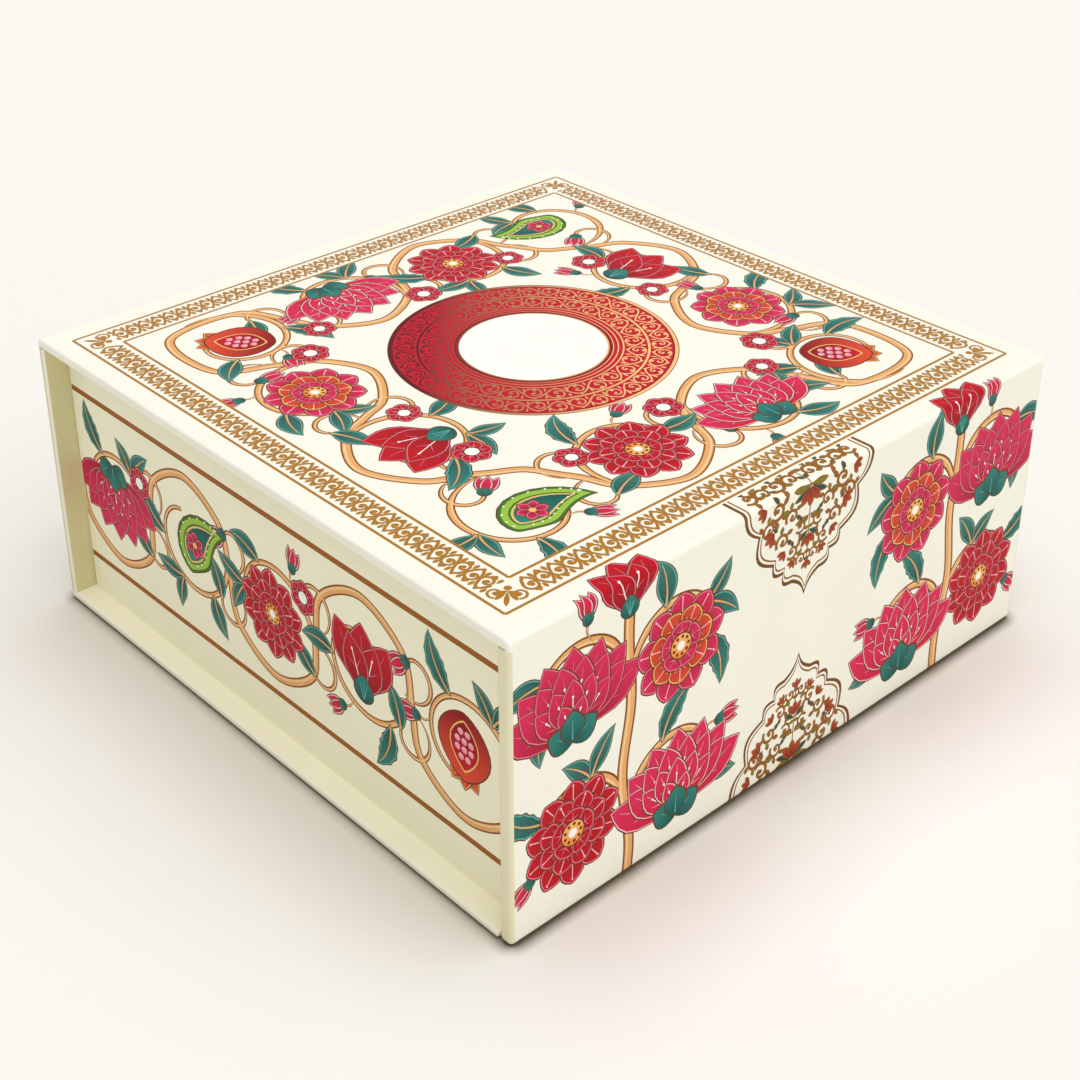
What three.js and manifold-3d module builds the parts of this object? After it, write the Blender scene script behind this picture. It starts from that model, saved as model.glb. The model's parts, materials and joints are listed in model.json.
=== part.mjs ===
// Hamper box: a rigid gift box closed by a front flap. A book-style case of four
// paper-wrapped boards (base, spine, lid, flap) folds round a tray that is glued to the
// base and the spine. Millimetres, +Z up. X runs along the flap, the flap faces -Y and
// the spine stands at +Y. The origin is the middle of the footprint, on the table.

import * as THREE from 'three';
import { mergeVertices } from 'three/addons/utils/BufferGeometryUtils.js';
import Module from 'manifold-3d';

const wasm = await Module();
wasm.setup();

// Outside of the closed box
const caseWidth = 254;
const caseDepth = 254;
const caseHeight = 111;

// Greyboard thicknesses
const lidBoard = 2.4;
const baseBoard = 1.8;
const spineBoard = 2.1;
const flapOuterPly = 2.3;
const flapInnerPly = 2.3;
const trayBoard = 1.8;

// Papers: a wrap is one paper on a film of glue
const paper = 0.25;
const glue = 0.05;
const skin = paper + glue;
const turnIn = 15; // wrap folded over a panel's edge onto its inner face
const hingeLip = 1; // wrap left under the lid beside each hinge
const rimTurnIn = 20; // tray wrap folded over the rim into the tray
const linerInset = 4; // bare turn-in left round a liner
const tape = 0.1; // corner tape thickness
const tapeLeg = 18; // corner tape on each wall
const tapeDrop = 3; // corner tape stops this far under the rim

// Fits
const endRecess = 9; // tray ends stand back from the case ends
const closeGap = 0.4; // flap to tray front
const rimGap = 0.3; // tray rim to lid liner
const hingeGap = 0.5; // lid liner to the tops of the flap and the spine
const hingeLap = 4; // hinge paper pasted down on the flap and on the spine
const flapLift = 0.6; // flap hem to the table
const lapGap = 0.3; // between papers that butt

// Edges, measured on the outside of the paper
const foldRadius = 2; // lid's front and back folds
const hemRadius = 1.6; // lower edge of the flap
const baseFoldRadius = 1.2; // fold between base and spine
const baseEdgeRadius = 1.1; // front edge of the base
const endRadius = 0.8; // ends of every panel
const endShare = 0.75; // most of a section's radius that its eased ends may take
const foldShare = 0.7; // most of the lid's thickness that its folds may take
const trayCornerRadius = 1.3;

// Magnets that hold the flap shut
const magnetDiameter = 14;
const flapMagnet = 2;
const trayMagnet = 1.6;
const magnetClearance = 0.3;
const magnetHeight = 26; // centre above the table
const magnetSpacing = 140; // between the two of a pair

// Fineness of the curved surfaces
const arcSteps = 3; // half the facets in a quarter turn
const endSteps = 3;
const roundSteps = 36;
const overrun = 1; // how far a cutter passes the face that it cuts

// Levels and faces that several pieces share
const halfWidth = caseWidth / 2;
const front = -caseDepth / 2;
const back = caseDepth / 2;
const baseTop = baseBoard + 2 * skin;
const lidUnder = caseHeight - lidBoard - 2 * skin;
const linerUnder = lidUnder - skin;
const panelTop = linerUnder - hingeGap;
const flapInside = front + flapOuterPly + glue + flapInnerPly + 2 * skin;
const trayFront = flapInside + skin + closeGap;
const trayBack = back - spineBoard - 2 * skin;
const trayEnd = halfWidth - endRecess;
const floorTop = baseTop + trayBoard;
const rimBoard = linerUnder - rimGap - skin;
const rimTop = rimBoard + skin;
const rimFold = rimBoard - rimTurnIn;

// Solids for cutting and joining

function solid(geometry) {
  const bare = geometry.clone();
  bare.deleteAttribute('normal');
  bare.deleteAttribute('uv');
  const merged = mergeVertices(bare);
  const vertProperties = new Float32Array(merged.attributes.position.array);
  const triVerts = new Uint32Array(merged.index.array);
  return new wasm.Manifold(new wasm.Mesh({ numProp: 3, vertProperties, triVerts }));
}

function geometryOf(manifold) {
  const mesh = manifold.getMesh();
  const geometry = new THREE.BufferGeometry();
  geometry.setAttribute('position', new THREE.BufferAttribute(mesh.vertProperties, 3));
  geometry.setIndex(new THREE.BufferAttribute(mesh.triVerts, 1));
  geometry.computeVertexNormals();
  return geometry;
}

function block([x0, x1], [y0, y1], [z0, z1]) {
  const geometry = new THREE.BoxGeometry(x1 - x0, y1 - y0, z1 - z0);
  return solid(geometry.translate((x0 + x1) / 2, (y0 + y1) / 2, (z0 + z1) / 2));
}

function cutAll(body, cutters) {
  return cutters.reduce((left, cutter) => left.subtract(cutter), body);
}

// A rectangle whose corners each have their own radius, 0 for a sharp one, in the order
// low-low, high-low, high-high, low-high
function roundedRectangle([u0, u1], [v0, v1], radii) {
  const shape = new THREE.Shape();
  const centres = [
    [u0, v0, 1, 1],
    [u1, v0, -1, 1],
    [u1, v1, -1, -1],
    [u0, v1, 1, -1],
  ];
  centres.forEach(([u, v, inU, inV], corner) => {
    const radius = radii[corner];
    const start = Math.PI + (corner * Math.PI) / 2;
    if (radius > 0) {
      shape.absarc(u + inU * radius, v + inV * radius, radius, start, start + Math.PI / 2);
    } else if (corner === 0) {
      shape.moveTo(u, v);
    } else {
      shape.lineTo(u, v);
    }
  });
  shape.closePath();
  return shape;
}

// Panels: a board is a YZ section carried along X with its ends eased, and its wrap is
// the same form grown by the paper, hollowed by the board

const alongX = new THREE.Matrix4().makeBasis(
  new THREE.Vector3(0, 1, 0),
  new THREE.Vector3(0, 0, 1),
  new THREE.Vector3(1, 0, 0),
);

// radii and ends are those of the wrapped panel, so a board's are smaller by the paper
function panel({ y, z, radii }, inset) {
  const shrink = (radius) => (radius > 0 ? radius - inset : 0);
  const section = roundedRectangle(
    [y[0] + inset, y[1] - inset],
    [z[0] + inset, z[1] - inset],
    radii.map(shrink),
  );
  const rounded = radii.map(shrink).filter((radius) => radius > 0);
  const ease = Math.min(shrink(endRadius), ...rounded.map((radius) => endShare * radius));
  const depth = caseWidth - 2 * inset - 2 * ease;
  const geometry = new THREE.ExtrudeGeometry(section, {
    depth,
    curveSegments: arcSteps,
    bevelThickness: ease,
    bevelSize: ease,
    bevelOffset: -ease,
    bevelSegments: endSteps,
  });
  return solid(geometry.translate(0, 0, -depth / 2).applyMatrix4(alongX));
}

function wrap(form, cutters) {
  return cutAll(panel(form, 0), [panel(form, paper), ...cutters]);
}

const lidFold = Math.min(foldRadius, foldShare * (caseHeight - lidUnder));
const lidForm = {
  y: [front, back],
  z: [lidUnder, caseHeight],
  radii: [0, 0, lidFold, lidFold],
};
const baseForm = {
  y: [trayFront, back],
  z: [0, baseTop],
  radii: [baseEdgeRadius, baseFoldRadius, 0, baseEdgeRadius],
};
const spineForm = {
  y: [trayBack, back],
  z: [baseTop, panelTop],
  radii: [0, 0, 0, 0],
};
const flapForm = {
  y: [front, flapInside],
  z: [flapLift, panelTop],
  radii: [hemRadius, hemRadius, 0, 0],
};

const turnInEnds = [-halfWidth + turnIn, halfWidth - turnIn];
const hingeEnds = [-halfWidth + endRadius, halfWidth - endRadius];
const hingeFoot = panelTop - hingeLap;

// The slot in the flap's or the spine's wrap that the hinge paper fills
function hingeSlot(outerFace, inward) {
  const y = [outerFace - inward * overrun, outerFace + inward * (paper + glue / 2)];
  return block(hingeEnds, y.sort((a, b) => a - b), [hingeFoot, panelTop + overrun]);
}

function hingePaper(outerFace, inward) {
  const x = hingeEnds.map((end) => end - Math.sign(end) * lapGap);
  const y = [outerFace, outerFace + inward * paper].sort((a, b) => a - b);
  return block(x, y, [hingeFoot + lapGap, lidUnder - glue]);
}

// Lid

const lidWindowY = [front + skin + hingeLip, back - skin - hingeLip];
const lidWindow = block(turnInEnds, lidWindowY, [lidUnder - overrun, lidUnder + skin]);

// The liner covers the turn-ins and is stepped up between them to meet the board
function lidLiner() {
  const y = lidWindowY.map((edge) => edge - Math.sign(edge) * lapGap);
  const sheet = [-halfWidth + linerInset, halfWidth - linerInset];
  const middle = turnInEnds.map((end) => end - Math.sign(end) * lapGap);
  const cover = block(sheet, y, [linerUnder, linerUnder + paper]);
  return cover.add(block(middle, y, [linerUnder, lidUnder + paper]));
}

// Base and spine

const baseWindowY = [trayFront + turnIn, back - skin - hingeLip];
const baseWindow = block(turnInEnds, baseWindowY, [baseTop - skin, baseTop + overrun]);
const spineWindowZ = [baseTop + skin + hingeLip, panelTop - skin - hingeLip];
const spineWindow = block(turnInEnds, [trayBack - overrun, trayBack + skin], spineWindowZ);

// Flap: two plies, with the magnets let into the inner one

const plySeam = front + skin + flapOuterPly;
const magnetRows = [-magnetSpacing / 2, magnetSpacing / 2];

function disc(diameter, x, [y0, y1]) {
  const radius = diameter / 2;
  const geometry = new THREE.CylinderGeometry(radius, radius, y1 - y0, roundSteps);
  return solid(geometry.translate(x, (y0 + y1) / 2, magnetHeight));
}

function magnetHoles(y) {
  const diameter = magnetDiameter + 2 * magnetClearance;
  return magnetRows.map((x) => disc(diameter, x, [y[0] - overrun, y[1] + overrun]));
}

function flapPly(y) {
  const everyX = [-halfWidth, halfWidth];
  return panel(flapForm, skin).intersect(block(everyX, y, [0, caseHeight]));
}

const flapWindowZ = [flapLift + turnIn, panelTop - skin - hingeLip];
const flapWindow = block(turnInEnds, [flapInside - skin, flapInside + overrun], flapWindowZ);

function flapLiner() {
  const sheet = [-halfWidth + linerInset, halfWidth - linerInset];
  const middle = turnInEnds.map((end) => end - Math.sign(end) * lapGap);
  const top = flapWindowZ[1] - lapGap;
  const outside = flapInside + skin;
  const cover = block(sheet, [outside - paper, outside], [flapLift + linerInset, top]);
  const bed = block(middle, [flapInside - paper, outside], [flapWindowZ[0] + lapGap, top]);
  return cover.add(bed);
}

// Tray: a floor, two full-length end walls, two walls between them, taped corners, a
// printed wrap folded over the rim, and plain liners

const trayX = [-trayEnd + skin, trayEnd - skin];
const trayY = [trayFront + skin, trayBack - skin];
const insideX = [trayX[0] + trayBoard, trayX[1] - trayBoard];
const insideY = [trayY[0] + trayBoard, trayY[1] - trayBoard];

const widen = ([low, high], by) => [low - by, high + by];

// The tray's footprint over its boards, grown all round, between two heights
function trayPrism(grow, [z0, z1]) {
  const radius = trayCornerRadius - skin + grow;
  const outline = roundedRectangle(widen(trayX, grow), widen(trayY, grow), Array(4).fill(radius));
  const options = { depth: z1 - z0, curveSegments: arcSteps, bevelEnabled: false };
  return solid(new THREE.ExtrudeGeometry(outline, options).translate(0, 0, z0));
}

function insideBlock(grow, z) {
  return block(widen(insideX, grow), widen(insideY, grow), z);
}

const wallZ = [floorTop, rimBoard];

function endWall(side) {
  const x = side < 0 ? [trayX[0], insideX[0]] : [insideX[1], trayX[1]];
  return trayPrism(0, wallZ).intersect(block(x, trayY, wallZ));
}

const cornerSides = [
  ['front_left', -1, 0],
  ['front_right', 1, 0],
  ['back_left', -1, 1],
  ['back_right', 1, 1],
];
const tapeZ = [baseTop + tapeDrop, rimBoard - tapeDrop];

function cornerBlock(side, row, leg) {
  const x = side < 0 ? [trayX[0] - skin, trayX[0] + leg] : [trayX[1] - leg, trayX[1] + skin];
  const y = row === 0 ? [trayY[0] - skin, trayY[0] + leg] : [trayY[1] - leg, trayY[1] + skin];
  return block(x, y, [0, caseHeight]);
}

function cornerTape(side, row) {
  const sheet = trayPrism(glue + tape, tapeZ).subtract(trayPrism(glue, widen(tapeZ, overrun)));
  return sheet.intersect(cornerBlock(side, row, tapeLeg));
}

// Room for a corner tape in the inside of the tray wrap
function tapeBed(side, row) {
  const bed = trayPrism(2 * glue + tape, widen(tapeZ, lapGap));
  return bed.intersect(cornerBlock(side, row, tapeLeg + lapGap));
}

function trayWrap() {
  const beds = cornerSides.map(([, side, row]) => tapeBed(side, row));
  const walls = trayPrism(glue, [rimFold - overrun, rimBoard + glue]);
  return cutAll(trayPrism(skin, [baseTop, rimTop]), [
    trayPrism(glue, [baseTop - overrun, rimFold]),
    walls.subtract(insideBlock(-glue, [0, caseHeight])),
    insideBlock(-skin, [0, caseHeight]),
    ...beds,
  ]);
}

function wallLiner() {
  const z = [floorTop + skin + lapGap, rimFold - lapGap];
  return insideBlock(-glue, z).subtract(insideBlock(-skin, widen(z, overrun)));
}

// Finishes

const finish = (color, roughness, metalness = 0) =>
  new THREE.MeshStandardMaterial({ color, roughness, metalness });

const greyboard = finish(0xa79d8d, 0.92);
const printedPaper = finish(0xf6f2dc, 0.5);
const linerPaper = finish(0xf4eeda, 0.7);
const kraftTape = finish(0xb98e5c, 0.85);
const nickel = finish(0xc9c8c4, 0.25, 1);

// Assembly: the base carries the spine and the tray, the lid turns on the spine's top
// edge and the flap on the lid's front edge

function assembly(name, pieces) {
  const group = new THREE.Group();
  group.name = name;
  for (const [node, body, material] of pieces) {
    const mesh = new THREE.Mesh(geometryOf(body), material);
    mesh.name = node;
    group.add(mesh);
  }
  return group;
}

const plyOuterY = [front + skin, plySeam];
const plyInnerY = [plySeam + glue, flapInside - skin];
const trayWallY = [trayY[0], insideY[0]];
const floorZ = [baseTop, floorTop];
const floorLinerZ = [floorTop + glue, floorTop + skin];

const magnetPairs = magnetRows.map((x) => ({
  side: x < 0 ? 'left' : 'right',
  flap: disc(magnetDiameter, x, [plySeam + glue, plySeam + glue + flapMagnet]),
  tray: disc(magnetDiameter, x, [trayY[0], trayY[0] + trayMagnet]),
}));

const baseAssembly = assembly('base_assembly', [
  ['base_board', panel(baseForm, skin), greyboard],
  ['base_wrap', wrap(baseForm, [baseWindow]), printedPaper],
  ['spine_board', panel(spineForm, skin), greyboard],
  ['spine_wrap', wrap(spineForm, [spineWindow, hingeSlot(back, -1)]), printedPaper],
  ['lid_hinge_paper', hingePaper(back, -1), printedPaper],
]);

const trayAssembly = assembly('tray_assembly', [
  ['tray_floor', trayPrism(0, floorZ), greyboard],
  ['tray_end_wall_left', endWall(-1), greyboard],
  ['tray_end_wall_right', endWall(1), greyboard],
  ['tray_front_wall', cutAll(block(insideX, trayWallY, wallZ), magnetHoles(trayWallY)), greyboard],
  ['tray_back_wall', block(insideX, [insideY[1], trayY[1]], wallZ), greyboard],
  ...cornerSides.map(([where, side, row]) => [
    `tray_corner_tape_${where}`,
    cornerTape(side, row),
    kraftTape,
  ]),
  ...magnetPairs.map(({ side, tray }) => [`tray_magnet_${side}`, tray, nickel]),
  ['tray_wrap', trayWrap(), printedPaper],
  ['tray_wall_liner', wallLiner(), linerPaper],
  ['tray_floor_liner', insideBlock(-glue - lapGap, floorLinerZ), linerPaper],
]);

const lidAssembly = assembly('lid_assembly', [
  ['lid_board', panel(lidForm, skin), greyboard],
  ['lid_wrap', wrap(lidForm, [lidWindow]), printedPaper],
  ['lid_liner', lidLiner(), linerPaper],
]);

const flapAssembly = assembly('flap_assembly', [
  ['flap_outer_ply', flapPly(plyOuterY), greyboard],
  ['flap_inner_ply', cutAll(flapPly(plyInnerY), magnetHoles(plyInnerY)), greyboard],
  ...magnetPairs.map(({ side, flap }) => [`flap_magnet_${side}`, flap, nickel]),
  ['flap_wrap', wrap(flapForm, [flapWindow, hingeSlot(front, 1)]), printedPaper],
  ['flap_liner', flapLiner(), linerPaper],
  ['flap_hinge_paper', hingePaper(front, 1), printedPaper],
]);

const hamperBox = new THREE.Group();
hamperBox.name = 'hamper_box';
hamperBox.add(baseAssembly, trayAssembly, lidAssembly, flapAssembly);

export default hamperBox;
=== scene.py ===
"""Hamper box: the printed case, its tray and a plain studio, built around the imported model."""

import json
import logging
import math
from dataclasses import dataclass, field
from enum import Enum
from typing import Callable, Sequence

import bpy
import numpy as np
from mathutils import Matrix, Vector
from mathutils.geometry import delaunay_2d_cdt


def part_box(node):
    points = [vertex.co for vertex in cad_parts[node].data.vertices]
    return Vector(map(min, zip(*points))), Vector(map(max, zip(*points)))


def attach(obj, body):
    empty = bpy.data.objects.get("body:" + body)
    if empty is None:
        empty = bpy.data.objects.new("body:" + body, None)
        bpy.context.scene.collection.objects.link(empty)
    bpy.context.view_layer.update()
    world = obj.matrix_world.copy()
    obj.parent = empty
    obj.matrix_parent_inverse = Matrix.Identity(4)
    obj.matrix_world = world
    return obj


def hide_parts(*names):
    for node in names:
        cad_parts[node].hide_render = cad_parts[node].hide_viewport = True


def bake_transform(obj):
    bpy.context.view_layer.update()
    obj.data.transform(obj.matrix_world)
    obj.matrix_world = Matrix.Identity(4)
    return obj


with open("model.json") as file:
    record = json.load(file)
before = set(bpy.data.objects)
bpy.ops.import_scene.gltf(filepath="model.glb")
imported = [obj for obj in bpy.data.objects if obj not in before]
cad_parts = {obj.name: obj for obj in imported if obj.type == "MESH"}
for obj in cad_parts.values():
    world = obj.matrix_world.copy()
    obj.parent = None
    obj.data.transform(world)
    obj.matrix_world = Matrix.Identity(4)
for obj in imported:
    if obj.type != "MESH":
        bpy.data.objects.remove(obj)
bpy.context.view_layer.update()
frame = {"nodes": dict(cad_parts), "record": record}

LOG = logging.getLogger("hamper_box")

Points = np.ndarray
MM = 0.001
QUARTER = math.pi / 2
WHOLE = 2 * math.pi
TINY = 1e-9
BUMP_DEPTH = 0.0002


# Inks


def seen_tone(tone: Sequence[float]) -> tuple[float, float, float]:
    """Linear colour of a tone as seen, 0 to 255, by the usual curve of a screen."""
    seen = np.array(tone[:3]) / 255.0
    linear = np.where(seen <= 0.04045, seen / 12.92, ((seen + 0.055) / 1.055) ** 2.4)
    return tuple(linear.tolist())


def solid(tone: Sequence[float]) -> tuple[float, float, float, float]:
    """A tone as seen, 0 to 255, as an opaque linear colour."""
    return (*seen_tone(tone), 1.0)


class Ink(Enum):
    """Printing inks: red, green and blue as seen, 0 to 255, and how much of it is gold foil; a few paper
    and foil tones hold painted shade or a painted glint.
    """

    PAPER = (250, 249, 236, 0.0)
    WHITE = (252, 251, 247, 0.0)
    # Paper darkened and yellowed as painted shade, for the flap's bare inside and its ends.
    PAINTED_SHADE_CREAM = (236, 231, 198, 0.0)
    SOFT_CREAM = (252, 249, 224, 0.0)
    # Paper darkened and yellowed further as painted shade, for the spine's bare inside in the recess.
    PAINTED_SHADE_IVORY = (220, 214, 168, 0.0)
    FOIL = (180, 126, 44, 1.0)
    # Foil tones of the medallion: a dark painted shade and a bright painted glint, faded across it.
    FOIL_PAINTED_SHADE = (84, 12, 18, 0.15)
    FOIL_PAINTED_GLINT = (250, 202, 136, 0.4)
    GOLD = (150, 98, 36, 0.0)
    DEEP_GOLD = (120, 76, 24, 0.0)
    PALE_GOLD = (240, 196, 112, 0.0)
    BARK = (136, 78, 28, 0.0)
    TAN = (234, 174, 112, 0.0)
    TAN_LIGHT = (248, 206, 152, 0.0)
    BAND = (160, 97, 35, 0.0)
    OUTLINE = (104, 60, 22, 0.0)
    RED = (198, 20, 34, 0.0)
    DEEP_RED = (140, 8, 26, 0.0)
    MEDAL_RED = (194, 18, 44, 0.0)
    PINK = (220, 44, 92, 0.0)
    LIGHT_PINK = (238, 122, 150, 0.0)
    BLUSH = (250, 200, 206, 0.0)
    TEAL = (48, 132, 124, 0.0)
    DEEP_TEAL = (20, 84, 80, 0.0)
    LIGHT_TEAL = (96, 170, 160, 0.0)
    LIME = (158, 196, 72, 0.0)
    LEAF_GREEN = (60, 116, 44, 0.0)
    OLIVE = (122, 124, 46, 0.0)
    ORANGE = (240, 146, 60, 0.0)
    CORAL = (228, 78, 52, 0.0)
    RUST = (182, 80, 46, 0.0)

    def tone(self) -> tuple[float, float, float, float]:
        """The ink's linear colour, with its share of foil in the fourth place."""
        return (*seen_tone(self.value), self.value[3])


# Outlines in millimetres


def ways_at(angle: Points) -> Points:
    """Unit directions at angles, anticlockwise from the x axis."""
    return np.stack([np.cos(angle), np.sin(angle)], 1)


def heading(way: Points) -> float:
    """How far a motif is turned, anticlockwise, for its upright axis to lie along a direction."""
    return math.atan2(-way[0], way[1])


def unit_ways(ways: Points) -> Points:
    """Directions, one to a row, made one long."""
    return ways / np.maximum(np.linalg.norm(ways, axis=1, keepdims=True), TINY)


def upright(heights: Points) -> Points:
    """Points at heights above the origin."""
    return np.stack([np.zeros(len(heights)), heights], 1)


def disc(radius: float, count: int = 16, at: Sequence[float] = (0.0, 0.0)) -> Points:
    """Circle of a radius round a point, as count corners in order."""
    angle = np.arange(count) * WHOLE / count
    return np.asarray(at) + radius * ways_at(angle)


def smooth(knots: Sequence[Sequence[float]], steps: int = 8, closed: bool = False) -> Points:
    """Curve through knots: on each span the Catmull-Rom cubic of the four knots about it.

    Args:
        knots: points that the curve passes through.
        steps: points made on each span.
        closed: whether the last knot joins the first.

    Returns:
        The curve's points; a closed curve repeats its first point at the end.
    """
    p = np.asarray(knots, float)
    if closed:
        p = np.concatenate([p[-1:], p, p[:2]])
    else:
        p = np.concatenate([2 * p[:1] - p[1:2], p, 2 * p[-1:] - p[-2:-1]])
    a, b, c, d = p[:-3, None], p[1:-2, None], p[2:-1, None], p[3:, None]
    t = (np.arange(steps) / steps)[None, :, None]
    span = 0.5 * (2 * b + (c - a) * t + (2 * a - 5 * b + 4 * c - d) * t**2)
    span = span + 0.5 * (3 * b - a - 3 * c + d) * t**3
    return np.concatenate([span.reshape(-1, 2), p[-2:-1]])


def sides(path: Points) -> Points:
    """Unit normals to the left of a path, at each of its points."""
    along = unit_ways(np.gradient(path, axis=0))
    return np.stack([-along[:, 1], along[:, 0]], 1)


def ribbon(path: Points, half: float | Points) -> Points:
    """Outline of a stroke: the path moved to its left and to its right by half its width."""
    reach = sides(path) * np.broadcast_to(half, len(path))[:, None]
    return np.concatenate([path + reach, (path - reach)[::-1]])


def spiral(
    centre: Sequence[float], start: float, stop: float, outer: float, inner: float, count: int
) -> Points:
    """Spiral whose radius shrinks as its angle runs from start to stop.

    Args:
        centre: middle of the spiral.
        start: first angle, in radians.
        stop: last angle.
        outer: radius at the first angle.
        inner: radius at the last.
        count: number of points.

    Returns:
        The spiral's points.
    """
    share = np.linspace(0.0, 1.0, count)
    angle = start + (stop - start) * share
    radius = outer + (inner - outer) * share**1.15
    return np.asarray(centre) + radius[:, None] * ways_at(angle)


def petal(
    length: float, width: float, widest: float = 0.6, blunt: float = 0.8, count: int = 11
) -> Points:
    """Petal that grows up from the origin: its half width is a power of a half sine wave.

    Args:
        length: from base to tip.
        width: at its widest.
        widest: where that is, as a share of the length.
        blunt: power of the sine; below 1 the tip is round, above 1 it is pointed.
        count: points along one side.

    Returns:
        The outline's points.
    """
    share = (1 - np.cos(np.linspace(0, math.pi, count))) / 2
    half = width / 2 * np.sin(math.pi * share ** (math.log(0.5) / math.log(widest))) ** blunt
    half[[0, -1]] = 0.0
    left = np.stack([-half, share * length], 1)
    return np.concatenate([left, left[-2:0:-1] * (-1, 1)])


def bent(points: Points, curve: float) -> Points:
    """Points whose upright axis is rolled into an arc of that curvature, to the right if above 0."""
    if abs(curve) < 1e-6:
        return points
    angle = curve * points[:, 1]
    x = (1 - np.cos(angle)) / curve + points[:, 0] * np.cos(angle)
    return np.stack([x, np.sin(angle) / curve - points[:, 0] * np.sin(angle)], 1)


def ringed(points: Points, radius: float) -> Points:
    """A strip along x wrapped round a circle: x is the way round, clockwise, and y the way out."""
    angle = points[:, 0] / radius
    reach = radius + points[:, 1]
    return np.stack([reach * np.sin(angle), reach * np.cos(angle)], 1)


@dataclass
class Artwork:
    """Ink shapes in painting order: each has an outline, two inks and the line they fade along."""

    outlines: list[Points] = field(default_factory=list)
    inks: list[tuple[Ink, Ink]] = field(default_factory=list)
    fades: list[Points] = field(default_factory=list)

    @classmethod
    def of(cls, outline: Points, ink: Ink, tip: Ink | None = None) -> "Artwork":
        """An artwork of one shape."""
        art = cls()
        art.paint(outline, ink, tip)
        return art

    def paint(self, outline: Points, ink: Ink, tip: Ink | None = None) -> None:
        """Adds one shape on top of the others.

        Args:
            outline: its corners.
            ink: its ink, or the ink at its bottom where it fades.
            tip: the ink at its top.
        """
        low, high = outline.min(0), outline.max(0)
        self.outlines.append(np.asarray(outline, float))
        self.inks.append((ink, tip or ink))
        self.fades.append(np.array([[0.0, low[1]], [0.0, high[1]]]))

    def warp(self, change: Callable[[Points], Points]) -> "Artwork":
        """A copy with every outline and fade passed through a change of place."""
        return Artwork(
            [change(shape) for shape in self.outlines],
            list(self.inks),
            [change(line) for line in self.fades],
        )

    def stamp(
        self,
        motif: "Artwork",
        at: Sequence[float] = (0.0, 0.0),
        turn: float = 0.0,
        flip: bool = False,
    ) -> None:
        """Adds a copy of a motif on top.

        Args:
            motif: what to add.
            at: where its origin goes.
            turn: how far it is turned, in radians, anticlockwise.
            flip: whether left and right change places before the turn.
        """
        turned = np.array([[math.cos(turn), math.sin(turn)], [-math.sin(turn), math.cos(turn)]])
        mirror = np.array([-1.0 if flip else 1.0, 1.0])
        copy = motif.warp(lambda points: (points * mirror) @ turned + np.asarray(at))
        self.outlines += copy.outlines
        self.inks += copy.inks
        self.fades += copy.fades

    def fan(
        self, motif: "Artwork", turns: Sequence[float], at: Sequence[float] = (0.0, 0.0)
    ) -> None:
        """Adds a copy of a motif for each of some turns about one place."""
        for turn in turns:
            self.stamp(motif, at, turn)

    def extent(self) -> tuple[Points, Points]:
        """Lowest and highest corner of all outlines."""
        every = np.concatenate(self.outlines)
        return every.min(0), every.max(0)

    def middle_height(self) -> float:
        """Height midway between the lowest and the highest point."""
        low, high = self.extent()
        return (low[1] + high[1]) / 2

    def cover(self, low: Sequence[float], high: Sequence[float], ink: Ink = Ink.PAPER) -> None:
        """Paints a rectangle between two corners, which cuts off what was painted there."""
        x0, y0, x1, y1 = *low, *high
        self.paint(np.array([[x0, y0], [x1, y0], [x1, y1], [x0, y1]], float), ink)


# Motifs of the print


@dataclass(frozen=True)
class PetalStyle:
    """How a petal is inked, from its outline in to its middle."""

    line: float = 0.5
    rim: Ink = Ink.LIGHT_PINK
    rim_width: float = 0.4
    base: Ink = Ink.DEEP_RED
    tip: Ink = Ink.RED
    vein: Ink = Ink.LIGHT_PINK


RED_PETAL = PetalStyle()
PINK_PETAL = PetalStyle(base=Ink.DEEP_RED, tip=Ink.PINK)
ROSE_PETAL = PetalStyle(rim=Ink.BLUSH, base=Ink.RED, tip=Ink.PINK, vein=Ink.BLUSH)
CORAL_PETAL = PetalStyle(rim=Ink.PALE_GOLD, base=Ink.DEEP_RED, tip=Ink.CORAL, vein=Ink.PALE_GOLD)
VEINED_WIDTH = 4.5


def inked_petal(
    length: float, width: float, style: PetalStyle, widest: float = 0.6, blunt: float = 0.8
) -> Artwork:
    """One petal: a dark outline, a pale rim and a fading middle, with fine veins if it is wide.

    Args:
        length: from base to tip.
        width: at its widest.
        style: its inks.
        widest: where that is, as a share of the length.
        blunt: power of the outline's sine wave.

    Returns:
        The petal, growing up from the origin.
    """
    art = Artwork()

    def inset(by: float) -> Points:
        """The petal's outline moved in by a distance."""
        return petal(length - 2 * by, width - 2 * by, widest, blunt) + (0.0, by)

    art.paint(inset(-style.line), Ink.OUTLINE)
    art.paint(inset(0.0), style.rim)
    if width - 2 * style.rim_width > 0.8:
        art.paint(inset(style.rim_width), style.base, style.tip)
    if width > VEINED_WIDTH:
        rise = np.linspace(0.0, 1.0, 4)
        for lean in (-0.26, 0.0, 0.26):
            top = 0.86 - abs(lean)
            vein = np.stack([lean * width * rise, length * (0.45 + (top - 0.45) * rise)], 1)
            art.paint(ribbon(vein, np.linspace(0.18, 0.05, 4)), style.vein)
    return art


def stamen(length: float, ink: Ink = Ink.WHITE, half: float = 0.22) -> Artwork:
    """A fine thread that grows up from the origin, with a dot at its end."""
    art = Artwork()
    art.paint(ribbon(upright(np.linspace(0, length, 4)), half), ink)
    art.paint(disc(half * 2.6, 8, (0.0, length)), ink)
    return art


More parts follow.
